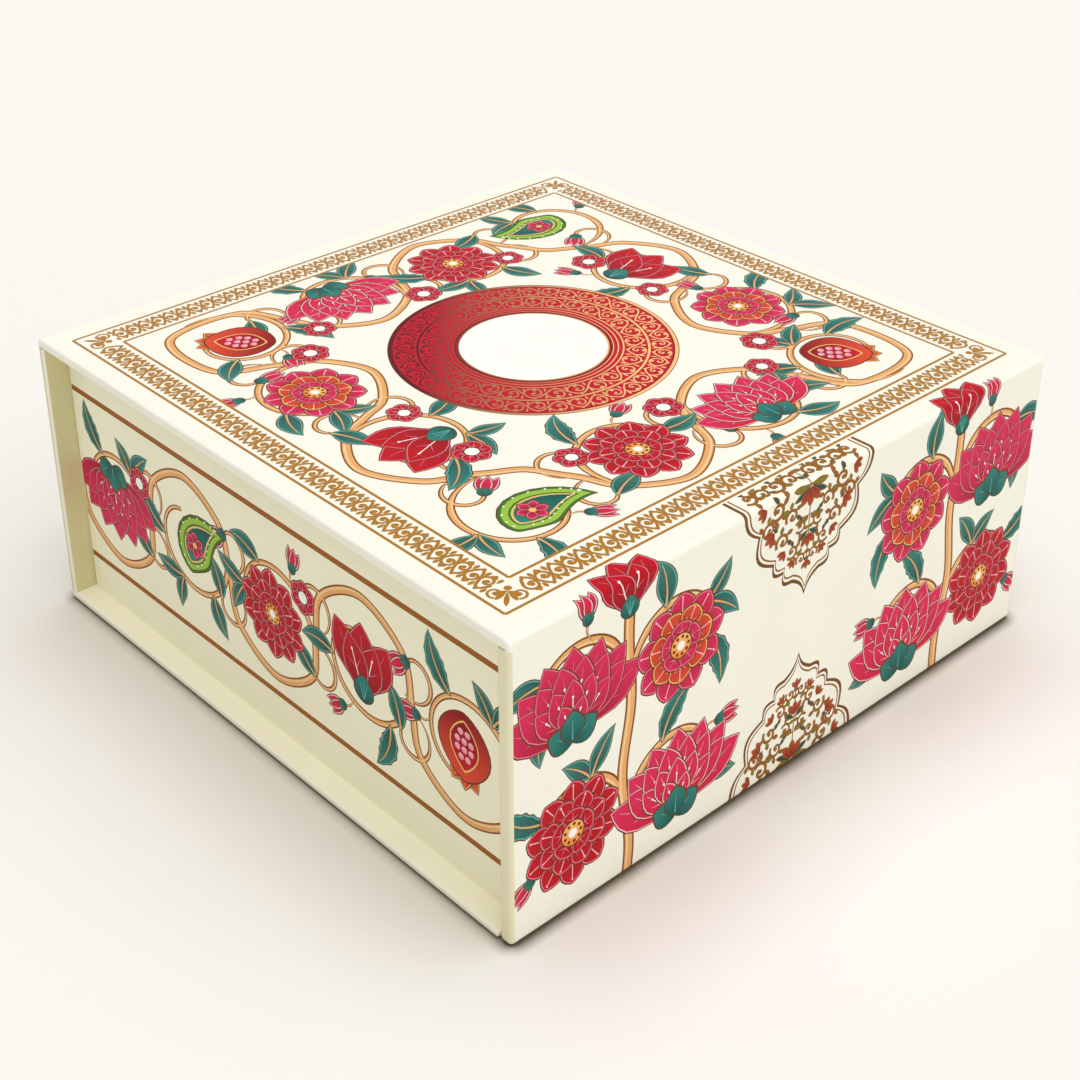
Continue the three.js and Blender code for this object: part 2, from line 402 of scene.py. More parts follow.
def dahlia(radius: float, styles: Sequence[PetalStyle], counts: Sequence[int]) -> Artwork:
    """Open flower seen from the front: rings of petals, each shorter than the one below it.

    Args:
        radius: of the flower.
        styles: inks of the rings, in turn.
        counts: petals in each ring, from the outermost.

    Returns:
        The flower, about the origin.
    """
    art = Artwork()
    rings = len(counts)
    for ring, count in enumerate(counts):
        reach = radius * (1 - 0.27 * ring)
        start = 0.2 * reach
        style = styles[ring % len(styles)]
        width = 1.12 * WHOLE * reach * 0.72 / count
        leaf = inked_petal(reach - start, width, style, 0.66, 0.75)
        if ring < rings - 1 and reach > 9:
            leaf.stamp(stamen(0.42 * reach, Ink.BLUSH, 0.16), (0.0, 0.3 * reach))
        for k in range(count):
            angle = WHOLE * (k + 0.5 * ring) / count
            place = (-start * math.sin(angle), start * math.cos(angle))
            art.stamp(leaf, place, angle)
    heart = 0.25 * radius
    art.paint(disc(heart, 20), Ink.OUTLINE)
    art.paint(disc(heart - 0.45, 20), Ink.ORANGE, Ink.PALE_GOLD)
    for place in disc(0.68 * heart, 9):
        art.paint(disc(0.14 * heart, 7, place), Ink.DEEP_RED)
    art.paint(disc(0.36 * heart, 12), Ink.WHITE)
    return flattened(art)


def lotus(height: float, style: PetalStyle, fan: float = 62.0) -> Artwork:
    """Flower seen from the side: rows of petals fan out from its foot, the nearest row last.

    Args:
        height: of the longest petals.
        style: their inks.
        fan: how far the outermost lean, in degrees.

    Returns:
        The flower, growing up from the origin.
    """
    art = Artwork()
    rows = ((7, 1.0, fan), (6, 0.86, fan * 0.8), (5, 0.66, fan * 0.72), (2, 0.44, fan * 0.3))
    for count, share, spread in rows:
        length = height * share
        leaf = inked_petal(length, 0.36 * length + 1.6, style, 0.62, 1.0)
        if share < 0.9:
            leaf.stamp(stamen(0.4 * length, Ink.WHITE, 0.17), (0.0, 0.3 * length))
        order = sorted(range(count), key=lambda k: -abs(k - (count - 1) / 2))
        art.fan(leaf, [math.radians(spread * (2 * k / (count - 1) - 1)) for k in order])
    cup = petal(0.34 * height, 0.3 * height, 0.45, 0.8)
    sepal = Artwork.of(cup * 1.1 + (0.0, -0.3), Ink.OUTLINE)
    sepal.paint(cup, Ink.DEEP_TEAL, Ink.TEAL)
    vein = upright(np.linspace(0.8, 0.24 * height, 4))
    sepal.paint(ribbon(vein, np.linspace(0.3, 0.08, 4)), Ink.LIGHT_TEAL)
    art.fan(sepal, (-1.05, 1.05, 0.0), (0.0, -0.04 * height))
    return flattened(art)


def tulip(height: float, style: PetalStyle) -> Artwork:
    """Cup flower seen from the side: three petals behind, two in front, and a striped foot.

    Args:
        height: of the petals behind.
        style: their inks.

    Returns:
        The flower, growing up from the origin.
    """
    art = Artwork()
    back = inked_petal(height, 0.5 * height, style, 0.6, 0.95)
    art.fan(back, (-0.5, 0.5, 0.0))
    near = inked_petal(0.84 * height, 0.46 * height, style, 0.52, 1.0)
    near.stamp(stamen(0.42 * height, Ink.WHITE, 0.2), (0.0, 0.2 * height))
    art.fan(near, (-0.3, 0.3), (0.0, -0.02 * height))
    foot = petal(0.36 * height, 0.34 * height, 0.42, 0.7)
    art.paint(foot * 1.12 - (0.0, 0.1 * height), Ink.OUTLINE)
    art.paint(foot - (0.0, 0.08 * height), Ink.DEEP_TEAL, Ink.TEAL)
    stripe = ribbon(upright(np.linspace(0.02, 0.24, 4) * height), 0.2)
    art.fan(Artwork.of(stripe, Ink.LIGHT_TEAL), (-0.28, 0.0, 0.28), (0.0, -0.06 * height))
    return flattened(art)


def pomegranate(size: float) -> Artwork:
    """Round fruit with a crown: its window shows rows of seeds.

    Args:
        size: of the fruit without its crown.

    Returns:
        The fruit, growing up from the origin.
    """
    art = Artwork()
    crown = inked_petal(0.42 * size, 0.26 * size, CORAL_PETAL, 0.5, 1.0)
    art.fan(crown, (-0.6, 0.6, 0.0), (0.0, 0.72 * size))
    body = petal(size, 0.94 * size, 0.48, 0.62, 15)
    art.paint(body * 1.05 - (0.0, 0.025 * size), Ink.OUTLINE)
    art.paint(body, Ink.DEEP_RED, Ink.CORAL)
    window = petal(0.72 * size, 0.5 * size, 0.48, 0.8)
    art.paint(window * 1.08 + (0.0, 0.1 * size), Ink.PALE_GOLD)
    art.paint(window + (0.0, 0.128 * size), Ink.DEEP_RED, Ink.RED)
    for row, count in enumerate((2, 3, 3, 2)):
        for k in range(count):
            place = ((k - (count - 1) / 2) * 0.125 * size, (0.29 + 0.125 * row) * size)
            art.paint(disc(0.052 * size, 8, place), Ink.BLUSH, Ink.LIGHT_PINK)
    return flattened(art)


def paisley(length: float) -> Artwork:
    """Curled drop with nested edges, a row of dots and a small flower in its middle.

    Args:
        length: from its foot to its curled tip.

    Returns:
        The drop, growing up from the origin.
    """
    art = Artwork()
    curl = 1.55 / length

    def drop(by: float, ink: Ink, tip: Ink | None = None) -> None:
        """Paints the drop moved in by a distance."""
        shape = petal(length - 2.6 * by, 0.56 * length - 2 * by, 0.36, 1.05, 16) + (0.0, by)
        art.paint(bent(shape, curl), ink, tip)

    unit = 0.028 * length
    drop(-0.5, Ink.OUTLINE)
    drop(0.0, Ink.LEAF_GREEN)
    drop(1.0 * unit, Ink.LIME)
    drop(3.2 * unit, Ink.LEAF_GREEN)
    drop(4.0 * unit, Ink.PALE_GOLD)
    drop(4.8 * unit, Ink.TEAL, Ink.DEEP_TEAL)
    ring = bent(petal(length * 0.86, 0.56 * length - 4.2 * unit, 0.36, 1.05, 12), curl)
    for place in ring[1:-1]:
        art.paint(disc(0.42 * unit, 6, place + (0.0, 2.1 * unit)), Ink.WHITE)
    small = inked_petal(0.15 * length, 0.1 * length, PINK_PETAL, 0.6, 0.8)
    middle = bent(np.array([[0.0, 0.36 * length]]), curl)[0]
    art.fan(small, [WHOLE * k / 6 for k in range(6)], middle)
    art.paint(disc(0.035 * length, 10, middle), Ink.PALE_GOLD)
    return flattened(art)


def rosette(radius: float) -> Artwork:
    """Small flower with six round petals and a white eye.

    Args:
        radius: of the flower.

    Returns:
        The flower, about the origin.
    """
    art = Artwork()
    leaf = inked_petal(radius, 0.86 * radius, RED_PETAL, 0.62, 0.6)
    art.fan(leaf, [WHOLE * k / 6 for k in range(6)])
    art.paint(disc(0.42 * radius, 14), Ink.OUTLINE)
    art.paint(disc(0.36 * radius, 14), Ink.WHITE)
    return flattened(art)


def bud(length: float, style: PetalStyle) -> Artwork:
    """Closed flower: three petals held in a small leafy cup.

    Args:
        length: of the petals.
        style: their inks.

    Returns:
        The bud, growing up from the origin.
    """
    art = Artwork()
    leaf = inked_petal(length, 0.36 * length, style, 0.5, 0.95)
    art.fan(leaf, (-0.3, 0.3, 0.0))
    cup = petal(0.46 * length, 0.26 * length, 0.4, 0.9)
    sepal = Artwork.of(cup * 1.14 - (0.0, 0.3), Ink.OUTLINE)
    sepal.paint(cup, Ink.DEEP_TEAL, Ink.TEAL)
    art.fan(sepal, (-0.42, 0.42, 0.0), (0.0, -0.08 * length))
    return flattened(art)


def leaf(length: float, width: float, curve: float = 0.0, lobes: int = 0) -> Artwork:
    """Teal leaf with a dark outline, a gold rib and side veins.

    Args:
        length: from stalk to tip.
        width: at its widest.
        curve: how far it curls over its length, in radians, to the right if above 0.
        lobes: waves along each edge.

    Returns:
        The leaf, growing up from the origin.
    """
    art = Artwork()
    roll = curve / length

    def blade(by: float) -> Points:
        """The leaf's outline moved in by a distance."""
        shape = petal(length - 2 * by, width - 2 * by, 0.46, 1.05, 17) + (0.0, by)
        wave = 1 + 0.16 * np.abs(np.sin(math.pi * lobes * shape[:, 1] / length))
        return bent(shape * np.stack([wave, np.ones(len(wave))], 1), roll)

    art.paint(blade(-0.45), Ink.OUTLINE)
    art.paint(blade(0.0), Ink.LIGHT_TEAL)
    art.paint(blade(0.5), Ink.DEEP_TEAL, Ink.TEAL)
    rib = bent(upright(np.linspace(0.02, 0.9, 9) * length), roll)
    for share in (0.2, 0.36, 0.52, 0.66):
        for side in (-1, 1):
            reach = side * width * 0.36 * math.sin(math.pi * min(share + 0.1, 0.9))
            t = np.linspace(0, 1, 4)
            vein = np.stack([reach * t, length * (share + 0.11 * t**0.8)], 1)
            art.paint(ribbon(bent(vein, roll), np.linspace(0.2, 0.06, 4)), Ink.DEEP_GOLD)
    art.paint(ribbon(rib, np.linspace(0.42, 0.12, 9)), Ink.TAN)
    return art


# Vines and scrolls


@dataclass
class Vines:
    """Strokes of one plant: all outlines go under all fills, so that branches join cleanly."""

    strokes: list[tuple[Points, Points]] = field(default_factory=list)
    outline: float = 0.58
    piece: int = 22
    ramp: float = 9.0

    def grow(self, path: Points, start: float, stop: float) -> None:
        """Adds a branch: its half width swells from its root, then runs from start to stop."""
        ramp = np.clip(np.arange(len(path)) / self.ramp, 0.0, 1.0)
        self.strokes.append((path, np.linspace(start, stop, len(path)) * (0.25 + 0.75 * ramp)))

    def run(self, path: Points, half: float) -> None:
        """Adds a stroke of one width."""
        self.strokes.append((path, np.full(len(path), half)))

    def parts(self, path: Points, half: Points) -> list[Points]:
        """Outlines of a stroke in short lengths, so that none of them crosses itself.

        Args:
            path: middle line of the stroke.
            half: half its width at each point.

        Returns:
            The outlines.
        """
        cuts = range(0, len(path) - 1, self.piece)
        spans = [slice(max(k - 1, 0), k + self.piece + 1) for k in cuts]
        normal = sides(path) * half[:, None]
        return [
            np.concatenate([(path + normal)[span], (path - normal)[span][::-1]]) for span in spans
        ]

    def paint_on(self, art: Artwork) -> None:
        """Paints outlines, then fills, then a light along one side of each stroke.

        Args:
            art: what they are painted on.
        """
        for path, half in self.strokes:
            for shape in self.parts(path, half):
                art.paint(shape, Ink.BARK)
        for path, half in self.strokes:
            for shape in self.parts(path, np.maximum(half - self.outline, 0.12)):
                art.paint(shape, Ink.TAN)
        for path, half in self.strokes:
            lit = path + sides(path) * (0.3 * half)[:, None]
            for shape in self.parts(lit, 0.2 * half):
                art.paint(shape, Ink.TAN_LIGHT)


def scroll_unit(length: float, height: float, weight: float) -> Artwork:
    """One repeat of a gold scroll border: a wave with a curl and leaves on each half.

    Args:
        length: of the repeat, along x from 0.
        height: of the border, about y = 0.
        weight: of its strokes and leaves; 1 is heavy.

    Returns:
        The repeat.
    """
    art = Artwork()
    unit = height / 9.0
    half = length / 2
    turns = 13
    for k, side in enumerate((1, -1)):
        x = np.linspace(0.0, half, 8)
        wave = np.stack([k * half + x, side * 3.5 * unit * np.sin(math.pi * x / half)], 1)
        art.paint(ribbon(wave, 0.44 * weight * unit), Ink.FOIL)
        middle = np.array([half * (k + 0.5), -side * 0.5 * unit])
        reach = math.hypot(half / 2, 0.5 * unit)
        start = side * math.atan2(0.5 * unit, half / 2)
        curl = spiral(middle, start, start - side * 6.4, reach, 0.8 * unit, turns)
        art.paint(ribbon(curl, np.linspace(0.44, 0.36, turns) * weight * unit), Ink.FOIL)
        art.paint(disc(0.8 * weight * unit, 7, middle), Ink.FOIL)
        foot = math.pi if side > 0 else 0.0
        for lean, place, size in (
            (0.0, (0.5, -2.5), 2.0),
            (0.95, (0.42, -2.3), 2.0),
            (-0.95, (0.58, -2.3), 2.0),
            (math.pi, (0.5, 3.4), 1.1),
            (0.0, (0.0, -1.5), 2.9),
            (math.pi, (0.0, 1.5), 2.9),
        ):
            drop = Artwork.of(petal(size * unit, 1.25 * weight * unit, 0.58, 0.85, 6), Ink.FOIL)
            art.stamp(drop, (half * (k + place[0]), side * place[1] * unit), foot + side * lean)
    return art


def scroll_run(length: float, height: float, count: int, weight: float, ground: Ink) -> Artwork:
    """A straight run of count scroll repeats on a ground, from x = 0, about y = 0.

    Args:
        length: of the run.
        height: of the border.
        count: number of repeats.
        weight: of the strokes.
        ground: ink behind them.

    Returns:
        The run.
    """
    step = length / count
    unit = flattened(scroll_unit(step, height, weight), ground=ground)
    art = Artwork()
    for k in range(count):
        art.stamp(unit, (k * step, 0.0))
    return art


@dataclass
class Rinceau:
    """Running vine that waves past a row of roundels, with a curl and a flower in each.

    It is a closed ring where no ends are given.
    """

    centres: Points
    crests: Points
    swing: float
    reach: float
    stem: float
    tendril: float
    flowers: Sequence[Artwork]
    sprigs: Sequence[Artwork]
    eyes: Sequence[Artwork]
    ends: Points | None = None
    sprig_steps: tuple[int, ...] = (14, 21, 28)

    @property
    def closed(self) -> bool:
        """Whether the last roundel is joined to the first."""
        return self.ends is None

    def hearts(self) -> Points:
        """Middles of the curls, set back from each roundel's crest."""
        return self.centres + self.crests * (self.swing - self.reach)

    def hand(self, k: int) -> float:
        """1 where the stem passes a roundel anticlockwise, and -1 where it passes clockwise."""
        crest, onward = self.crests[k], self.way_on(k)
        return 1.0 if crest[0] * onward[1] - crest[1] * onward[0] > 0 else -1.0

    def knots(self) -> Points:
        """Points on the stem: round each roundel's crest, and midway between roundels.

        Returns:
            The points, in order.
        """
        arches = []
        for k, (heart, crest) in enumerate(zip(self.hearts(), self.crests)):
            bend = 0.6 * math.acos(float(np.clip(crest @ self.neighbour_way(k), -1, 1)))
            turns = self.hand(k) * bend * np.array([-1.0, 0.0, 1.0])
            arches.append(heart + self.reach * ways_at(math.atan2(crest[1], crest[0]) + turns))
        middles = self.middles()[:, None]
        if self.closed:
            return np.concatenate([arches, middles], 1).reshape(-1, 2)
        both = np.concatenate([arches[:-1], middles], 1).reshape(-1, 2)
        return np.concatenate([self.ends[:1], both, arches[-1], self.ends[1:]])

    def neighbour_way(self, k: int) -> Points:
        """Unit direction from a roundel to the next one, or from the one before to the last."""
        k = k if self.closed else min(k, len(self.centres) - 2)
        way = self.centres[(k + 1) % len(self.centres)] - self.centres[k]
        return way / np.linalg.norm(way)

    def middles(self) -> Points:
        """Points midway between neighbouring roundels."""
        halfway = (self.centres + np.roll(self.centres, -1, axis=0)) / 2
        return halfway if self.closed else halfway[:-1]

    def way_on(self, k: int) -> Points:
        """Direction from the roundel before to the one after."""
        if not self.closed:
            return self.centres[-1] - self.centres[0]
        return self.centres[(k + 1) % len(self.centres)] - self.centres[k - 1]

    def paint_on(self, art: Artwork) -> None:
        """Paints the stem, its curls and tendrils, then sprigs along them, then the flowers.

        Args:
            art: what it is painted on.
        """
        vines = Vines()
        vines.run(smooth(self.knots(), 12, self.closed), self.stem)
        marks: list[tuple[Points, float]] = []
        hearts = self.hearts()
        for k, (heart, crest) in enumerate(zip(hearts, self.crests)):
            hand = self.hand(k)
            base = math.atan2(crest[1], crest[0])
            first, last = base + hand * 0.5, base + hand * 6.0
            curl = spiral(heart, first, last, self.reach, 0.45 * self.reach, 40)
            vines.grow(curl, 0.92 * self.stem, 0.5 * self.stem)
            for step in self.sprig_steps:
                marks.append((curl[step], heading(curl[step] - heart) + hand * 0.6))
        tips = self.grow_tendrils(vines)
        vines.paint_on(art)
        for index, (place, turn) in enumerate(marks):
            art.stamp(self.sprigs[index % len(self.sprigs)], place, turn, index % 2 == 0)
        for index, (place, turn) in enumerate(tips):
            art.stamp(self.eyes[index % len(self.eyes)], place, turn)
        for k, (heart, crest) in enumerate(zip(hearts, self.crests)):
            flower = self.flowers[k % len(self.flowers)]
            turn = heading(crest)
            lift = flower.middle_height()
            art.stamp(flower, heart - lift * np.array([-math.sin(turn), math.cos(turn)]), turn)

    def grow_tendrils(self, vines: Vines) -> list[tuple[Points, float]]:
        """Adds two small curls at each crossing between roundels.

        Args:
            vines: what they are added to.

        Returns:
            Their tips, and the turn of what grows on each.
        """
        tips = []
        for k, middle in enumerate(self.middles()):
            ahead = self.way_on(k) / np.linalg.norm(self.way_on(k))
            for side in (1, -1):
                way = side * self.crests[k]
                root = middle + 0.1 * self.swing * way + side * -0.12 * self.swing * ahead
                heart = root + 0.9 * self.tendril * way + side * 0.45 * self.tendril * ahead
                base = math.atan2(*(root - heart)[::-1])
                reach = float(np.linalg.norm(root - heart))
                last = base + self.hand(k) * side * -4.2
                curl = spiral(heart, base, last, reach, 0.45 * reach, 22)
                vines.grow(curl, 0.7 * self.stem, 0.45 * self.stem)
                tips.append((curl[-1], heading(curl[-1] - curl[-4])))
        return tips


# Surfaces


class Facing(Enum):
    """Which way a panel faces: its axes along, up and out of the printed side."""

    TOP = ((1, 0, 0), (0, 1, 0), (0, 0, 1))
    FRONT = ((1, 0, 0), (0, 0, 1), (0, -1, 0))
    BACK = ((-1, 0, 0), (0, 0, 1), (0, 1, 0))
    UNDER = ((1, 0, 0), (0, -1, 0), (0, 0, -1))

    def place(self, along: Points, section: Points) -> Points:
        """Points in space from their places along the panel and in its section (up, out)."""
        axes = np.array(self.value, float)
        flat = np.broadcast_to(along, section.shape[:-1])[..., None]
        return flat * axes[0] + section[..., :1] * axes[1] + section[..., 1:] * axes[2]


@dataclass
class Shell:
    """Patches of one surface: their points, faces and the ink at each face corner."""

    points: list[Points] = field(default_factory=list)
    faces: list[np.ndarray] = field(default_factory=list)
    tones: list[np.ndarray] = field(default_factory=list)
    count: int = 0

    def add(self, points: Points, faces: np.ndarray, tones: np.ndarray | Ink = Ink.PAPER) -> None:
        """Adds a patch.

        Args:
            points: its points in space, in millimetres.
            faces: one row of point numbers for each face.
            tones: tone at each face corner, or one ink all over.
        """
        if isinstance(tones, Ink):
            tones = np.tile(tones.tone(), (*faces.shape, 1))
        self.points.append(points.reshape(-1, 3))
        self.faces.append(faces + self.count)
        self.tones.append(tones)
        self.count += len(self.points[-1])

    def loft(
        self, rings: Points, closed: bool = True, flip: bool = False, ink: Ink = Ink.PAPER
    ) -> None:
        """Adds the surface through a stack of rings, as quads.

        Args:
            rings: rings by points by 3.
            closed: whether each ring joins its end to its start.
            flip: whether the faces are turned over.
            ink: ink all over it.
        """
        rows, columns = rings.shape[:2]
        index = np.arange(rows * columns).reshape(rows, columns)
        if closed:
            index = np.concatenate([index, index[:, :1]], 1)
        quads = [index[:-1, :-1], index[:-1, 1:], index[1:, 1:], index[1:, :-1]]
        faces = np.stack(quads[::-1] if flip else quads, -1).reshape(-1, 4)
        self.add(rings, faces, ink)

    def mesh(self, name: str) -> bpy.types.Mesh:
        """The patches joined into one mesh, with points that coincide merged.

        Args:
            name: of the mesh.

        Returns:
            The mesh, in metres, with its inks as a colour attribute.
        """
        merged, index = np.unique(
            np.concatenate(self.points).round(4), axis=0, return_inverse=True
        )
        index = index.reshape(-1)
        corners, starts, tones, total = [], [], [], 0
        for faces, tone in zip(self.faces, self.tones):
            kept = index[faces]
            size = faces.shape[1]
            distinct = 1 + (np.diff(np.sort(kept, axis=1), axis=1) > 0).sum(1)
            if size == 3:
                sound = np.flatnonzero(distinct == 3)
                sound = sound[~flat_strays(merged, kept[sound])]
                kept, tone, distinct = kept[sound], tone[sound], distinct[sound]
            apart = kept != np.roll(kept, -1, axis=1)
            for left in np.unique(distinct[distinct > 2]).tolist():
                chosen = (distinct == left) & (apart.sum(1) == left)
                corner = kept[chosen][apart[chosen]]
                corners.append(corner)
                tones.append(tone[chosen][apart[chosen]])
                starts.append(total + np.arange(0, len(corner), left))
                total += len(corner)
        used, corner = np.unique(np.concatenate(corners), return_inverse=True)
        mesh = bpy.data.meshes.new(name)
        mesh.vertices.add(len(used))
        mesh.vertices.foreach_set("co", (merged[used] * MM).ravel())
        mesh.loops.add(total)
        mesh.loops.foreach_set("vertex_index", corner.reshape(-1).astype(np.int32))
        first = np.concatenate(starts).astype(np.int32)
        mesh.polygons.add(len(first))
        mesh.polygons.foreach_set("loop_start", first)
        ink = mesh.color_attributes.new("ink", "FLOAT_COLOR", "CORNER")
        ink.data.foreach_set("color", np.concatenate(tones).astype(np.float32).ravel())
        mesh.update(calc_edges=True)
        mesh.validate()
        mesh.shade_smooth()
        mesh.set_sharp_from_angle(angle=math.radians(38))
        return mesh


def flat_strays(places: Points, triangles: np.ndarray, least: float = 2e-4) -> np.ndarray:
    """Which triangles have next to no area and lie along an edge that two others already share.

    Args:
        places: points in space.
        triangles: three point numbers each.
        least: twice the area below which a triangle counts as flat.

    Returns:
        A mask of the triangles.
    """
    pairs = np.stack([triangles, np.roll(triangles, -1, axis=1)], -1)
    _, index, uses = np.unique(
        np.sort(pairs, axis=2).reshape(-1, 2), axis=0, return_inverse=True, return_counts=True
    )
    crowded = (uses[index.reshape(-1)] > 2).reshape(-1, 3).any(1)
    first, second = np.diff(places[triangles], axis=1).transpose(1, 0, 2)
    return crowded & (np.linalg.norm(np.cross(first, second), axis=1) < least)


@dataclass
class Print:
    """Artwork cut to a sheet and split into triangles of one ink each."""

    points: Points
    faces: np.ndarray
    tones: np.ndarray

    @classmethod
    def cut(
        cls,
        art: Artwork,
        low: Sequence[float],
        high: Sequence[float],
        rows: Points,
        columns: Points,
        ground: Ink = Ink.PAPER,
    ) -> "Print":
        """Splits a sheet into triangles, each with the ink of the last shape painted over it.

        Args:
            art: what is printed.
            low: lowest corner of the sheet.
            high: highest corner.
            rows: heights of lines across the sheet that triangles may not cross.
            columns: places of lines up the sheet.
            ground: ink where nothing is printed.

        Returns:
            The sheet.
        """
        places, triangles, top, shown = split_sheet(art, low, high, rows, columns)
        sheet = np.array([low, high], float)
        pairs = [(ground, ground), *(art.inks[k] for k in shown)]
        first = np.array([pair[0].tone() for pair in pairs])[top]
        second = np.array([pair[1].tone() for pair in pairs])[top]
        fades = np.array([sheet, *(art.fades[k] for k in shown)])[top]
        run = fades[:, 1] - fades[:, 0]
        reach = np.maximum((run**2).sum(1), TINY)
        offset = places[triangles] - fades[:, None, 0]
        share = np.clip((offset * run[:, None]).sum(2) / reach[:, None], 0, 1)[..., None]
        tones = first[:, None] * (1 - share) + second[:, None] * share
        used, index = np.unique(triangles, return_inverse=True)
        return cls(places[used], index.reshape(-1, 3), tones)

    def edge(self, axis: int, at: float, near: float = 1e-4) -> Points:
        """Places, in order, of the points near a line: one up the sheet (axis 0) or along it (1)."""
        return np.sort(self.points[np.abs(self.points[:, axis] - at) < near, 1 - axis])


def area_of(shape: Points) -> float:
    """Area inside an outline, above 0 where it runs anticlockwise: half the sum of cross products."""
    x, y = shape.T
    return 0.5 * float(np.dot(x, np.roll(y, -1)) - np.dot(y, np.roll(x, -1)))


def anticlockwise(shape: Points) -> Points:
    """An outline turned to run anticlockwise, with its longest edge first."""
    shape = shape if area_of(shape) > 0 else shape[::-1]
    edges = np.linalg.norm(np.roll(shape, -1, axis=0) - shape, axis=1)
    return np.roll(shape, -int(np.argmax(edges)), axis=0)


def split_sheet(
    art: Artwork, low: Sequence[float], high: Sequence[float], rows: Points, columns: Points
) -> tuple[Points, np.ndarray, np.ndarray, list[int]]:
    """Splits a sheet into triangles along every outline on it and along given lines.

    Args:
        art: what is printed.
        low: lowest corner of the sheet.
        high: highest corner.
        rows: heights of lines across the sheet.
        columns: places of lines up the sheet.

    Returns:
        The points, the triangles, for each triangle the last shape over it, counted from 1 among
        those on the sheet and 0 where there is none, and the numbers of those shapes.
    """
    low, high = np.asarray(low, float), np.asarray(high, float)
    sheet = np.array([low, (high[0], low[1]), high, (low[0], high[1])])
    shown = [
        k
        for k, shape in enumerate(art.outlines)
        if (shape.max(0) > low).all() and (shape.min(0) < high).all()
    ]
    across = np.tile([low, high], (len(rows), 1, 1))
    across[:, :, 1] = rows[:, None]
    upward = np.tile([low, high], (len(columns), 1, 1))
    upward[:, :, 0] = columns[:, None]
    lines = np.concatenate([across, upward]).reshape(-1, 2)
    shapes = [sheet, *(anticlockwise(art.outlines[k]) for k in shown)]
    starts = np.cumsum([0, *(len(shape) for shape in shapes)])
    faces = [list(range(a, b)) for a, b in zip(starts[:-1], starts[1:])]
    edges = (starts[-1] + np.arange(len(lines)).reshape(-1, 2)).tolist()
    points = [Vector(p) for p in np.concatenate([*shapes, lines]).tolist()]
    found = delaunay_2d_cdt(points, edges, faces, 1, 1e-5, True)
    inside = [k for k, origin in enumerate(found[5]) if 0 in origin]
    places = np.array([tuple(p) for p in found[0]])
    triangles = np.array([found[2][k] for k in inside])
    middles = places[triangles].mean(1)
    lows = np.array([shape.min(0) for shape in shapes]) - 1e-4
    highs = np.array([shape.max(0) for shape in shapes]) + 1e-4
    over = [sorted(found[5][k]) for k in inside]
    top = np.array([origin[-1] for origin in over])
    stray = np.flatnonzero(((middles < lows[top]) | (middles > highs[top])).any(1))
    for k in stray.tolist():
        at = middles[k]
        top[k] = max(n for n in over[k] if (at >= lows[n]).all() and (at <= highs[n]).all())
    return places, triangles, top, shown


def flattened(art: Artwork, least: float = 0.02, ground: Ink | None = None) -> Artwork:
    """What shows of an artwork, as outlines that no longer overlap.

    Visible triangles of one shape or of one plain ink are joined and the rims of the joined areas
    are followed. Larger areas are painted first, so that an area with a hole needs no second rim.

    Args:
        art: shapes in painting order.
        least: smallest area that is kept.
        ground: ink that is painted in holes where nothing else shows.

    Returns:
        The visible areas.
    """
    low, high = art.extent()
    places, triangles, top, shown = split_sheet(art, low - 1, high + 1, np.array([]), np.array([]))
    inked = top > 0
    alike: dict[object, int] = {}
    plain = [art.inks[k][0] if art.inks[k][0] == art.inks[k][1] else k for k in shown]
    label = np.array([0, *(alike.setdefault(key, n + 1) for n, key in enumerate(plain))])
    triangles, label = triangles[inked], np.repeat(label[top[inked]], 3)
    ends = np.stack([triangles, np.roll(triangles, -1, axis=1)], -1).reshape(-1, 2)
    size = len(places)
    code = (label * size + ends[:, 0]) * size + ends[:, 1]
    back = (label * size + ends[:, 1]) * size + ends[:, 0]
    rim = ~np.isin(code, back)
    onward: dict[tuple[int, int], list[int]] = {}
    for which, start, stop in zip(label[rim].tolist(), *ends[rim].T.tolist()):
        onward.setdefault((which, start), []).append(stop)
    areas: list[tuple[float, int, Points]] = []
    while onward:
        single = (key for key, stops in onward.items() if len(stops) == 1)
        which, first = next(single, next(iter(onward)))
        loop, at = [], first
        while (which, at) in onward and not (loop and at == first):
            stops = onward[which, at]
            after = stops.pop(next_stop(places, loop, at, stops))
            if not stops:
                del onward[which, at]
            loop.append(at)
            at = after
        shape = places[loop]
        area = area_of(shape)
        if area > least:
            areas.append((area, shown[which - 1], shape))
        elif ground and area < -least:
            areas.append((-area, -1, shape[::-1]))
    areas.sort(key=lambda item: (-item[0], item[1]))
    inks = [art.inks[k] if k >= 0 else (ground, ground) for _, k, _ in areas]
    fades = [art.fades[max(k, 0)] for _, k, _ in areas]
    return Artwork([shape for _, _, shape in areas], inks, fades)


def next_stop(places: Points, loop: list[int], at: int, stops: list[int]) -> int:
    """Where areas touch at a point, which rim to follow so that the loop stays round one of them.

    Args:
        places: points of the sheet.
        loop: points followed so far.
        at: the point reached.
        stops: where the rims lead from there.

    Returns:
        Which of the stops comes next.
    """
    if len(stops) == 1 or not loop:
        return len(stops) - 1
    back = places[loop[-1]] - places[at]
    ways = places[stops] - places[at]
    turn = (math.atan2(back[1], back[0]) - np.arctan2(ways[:, 1], ways[:, 0])) % WHOLE
    return int(np.argmin(turn))


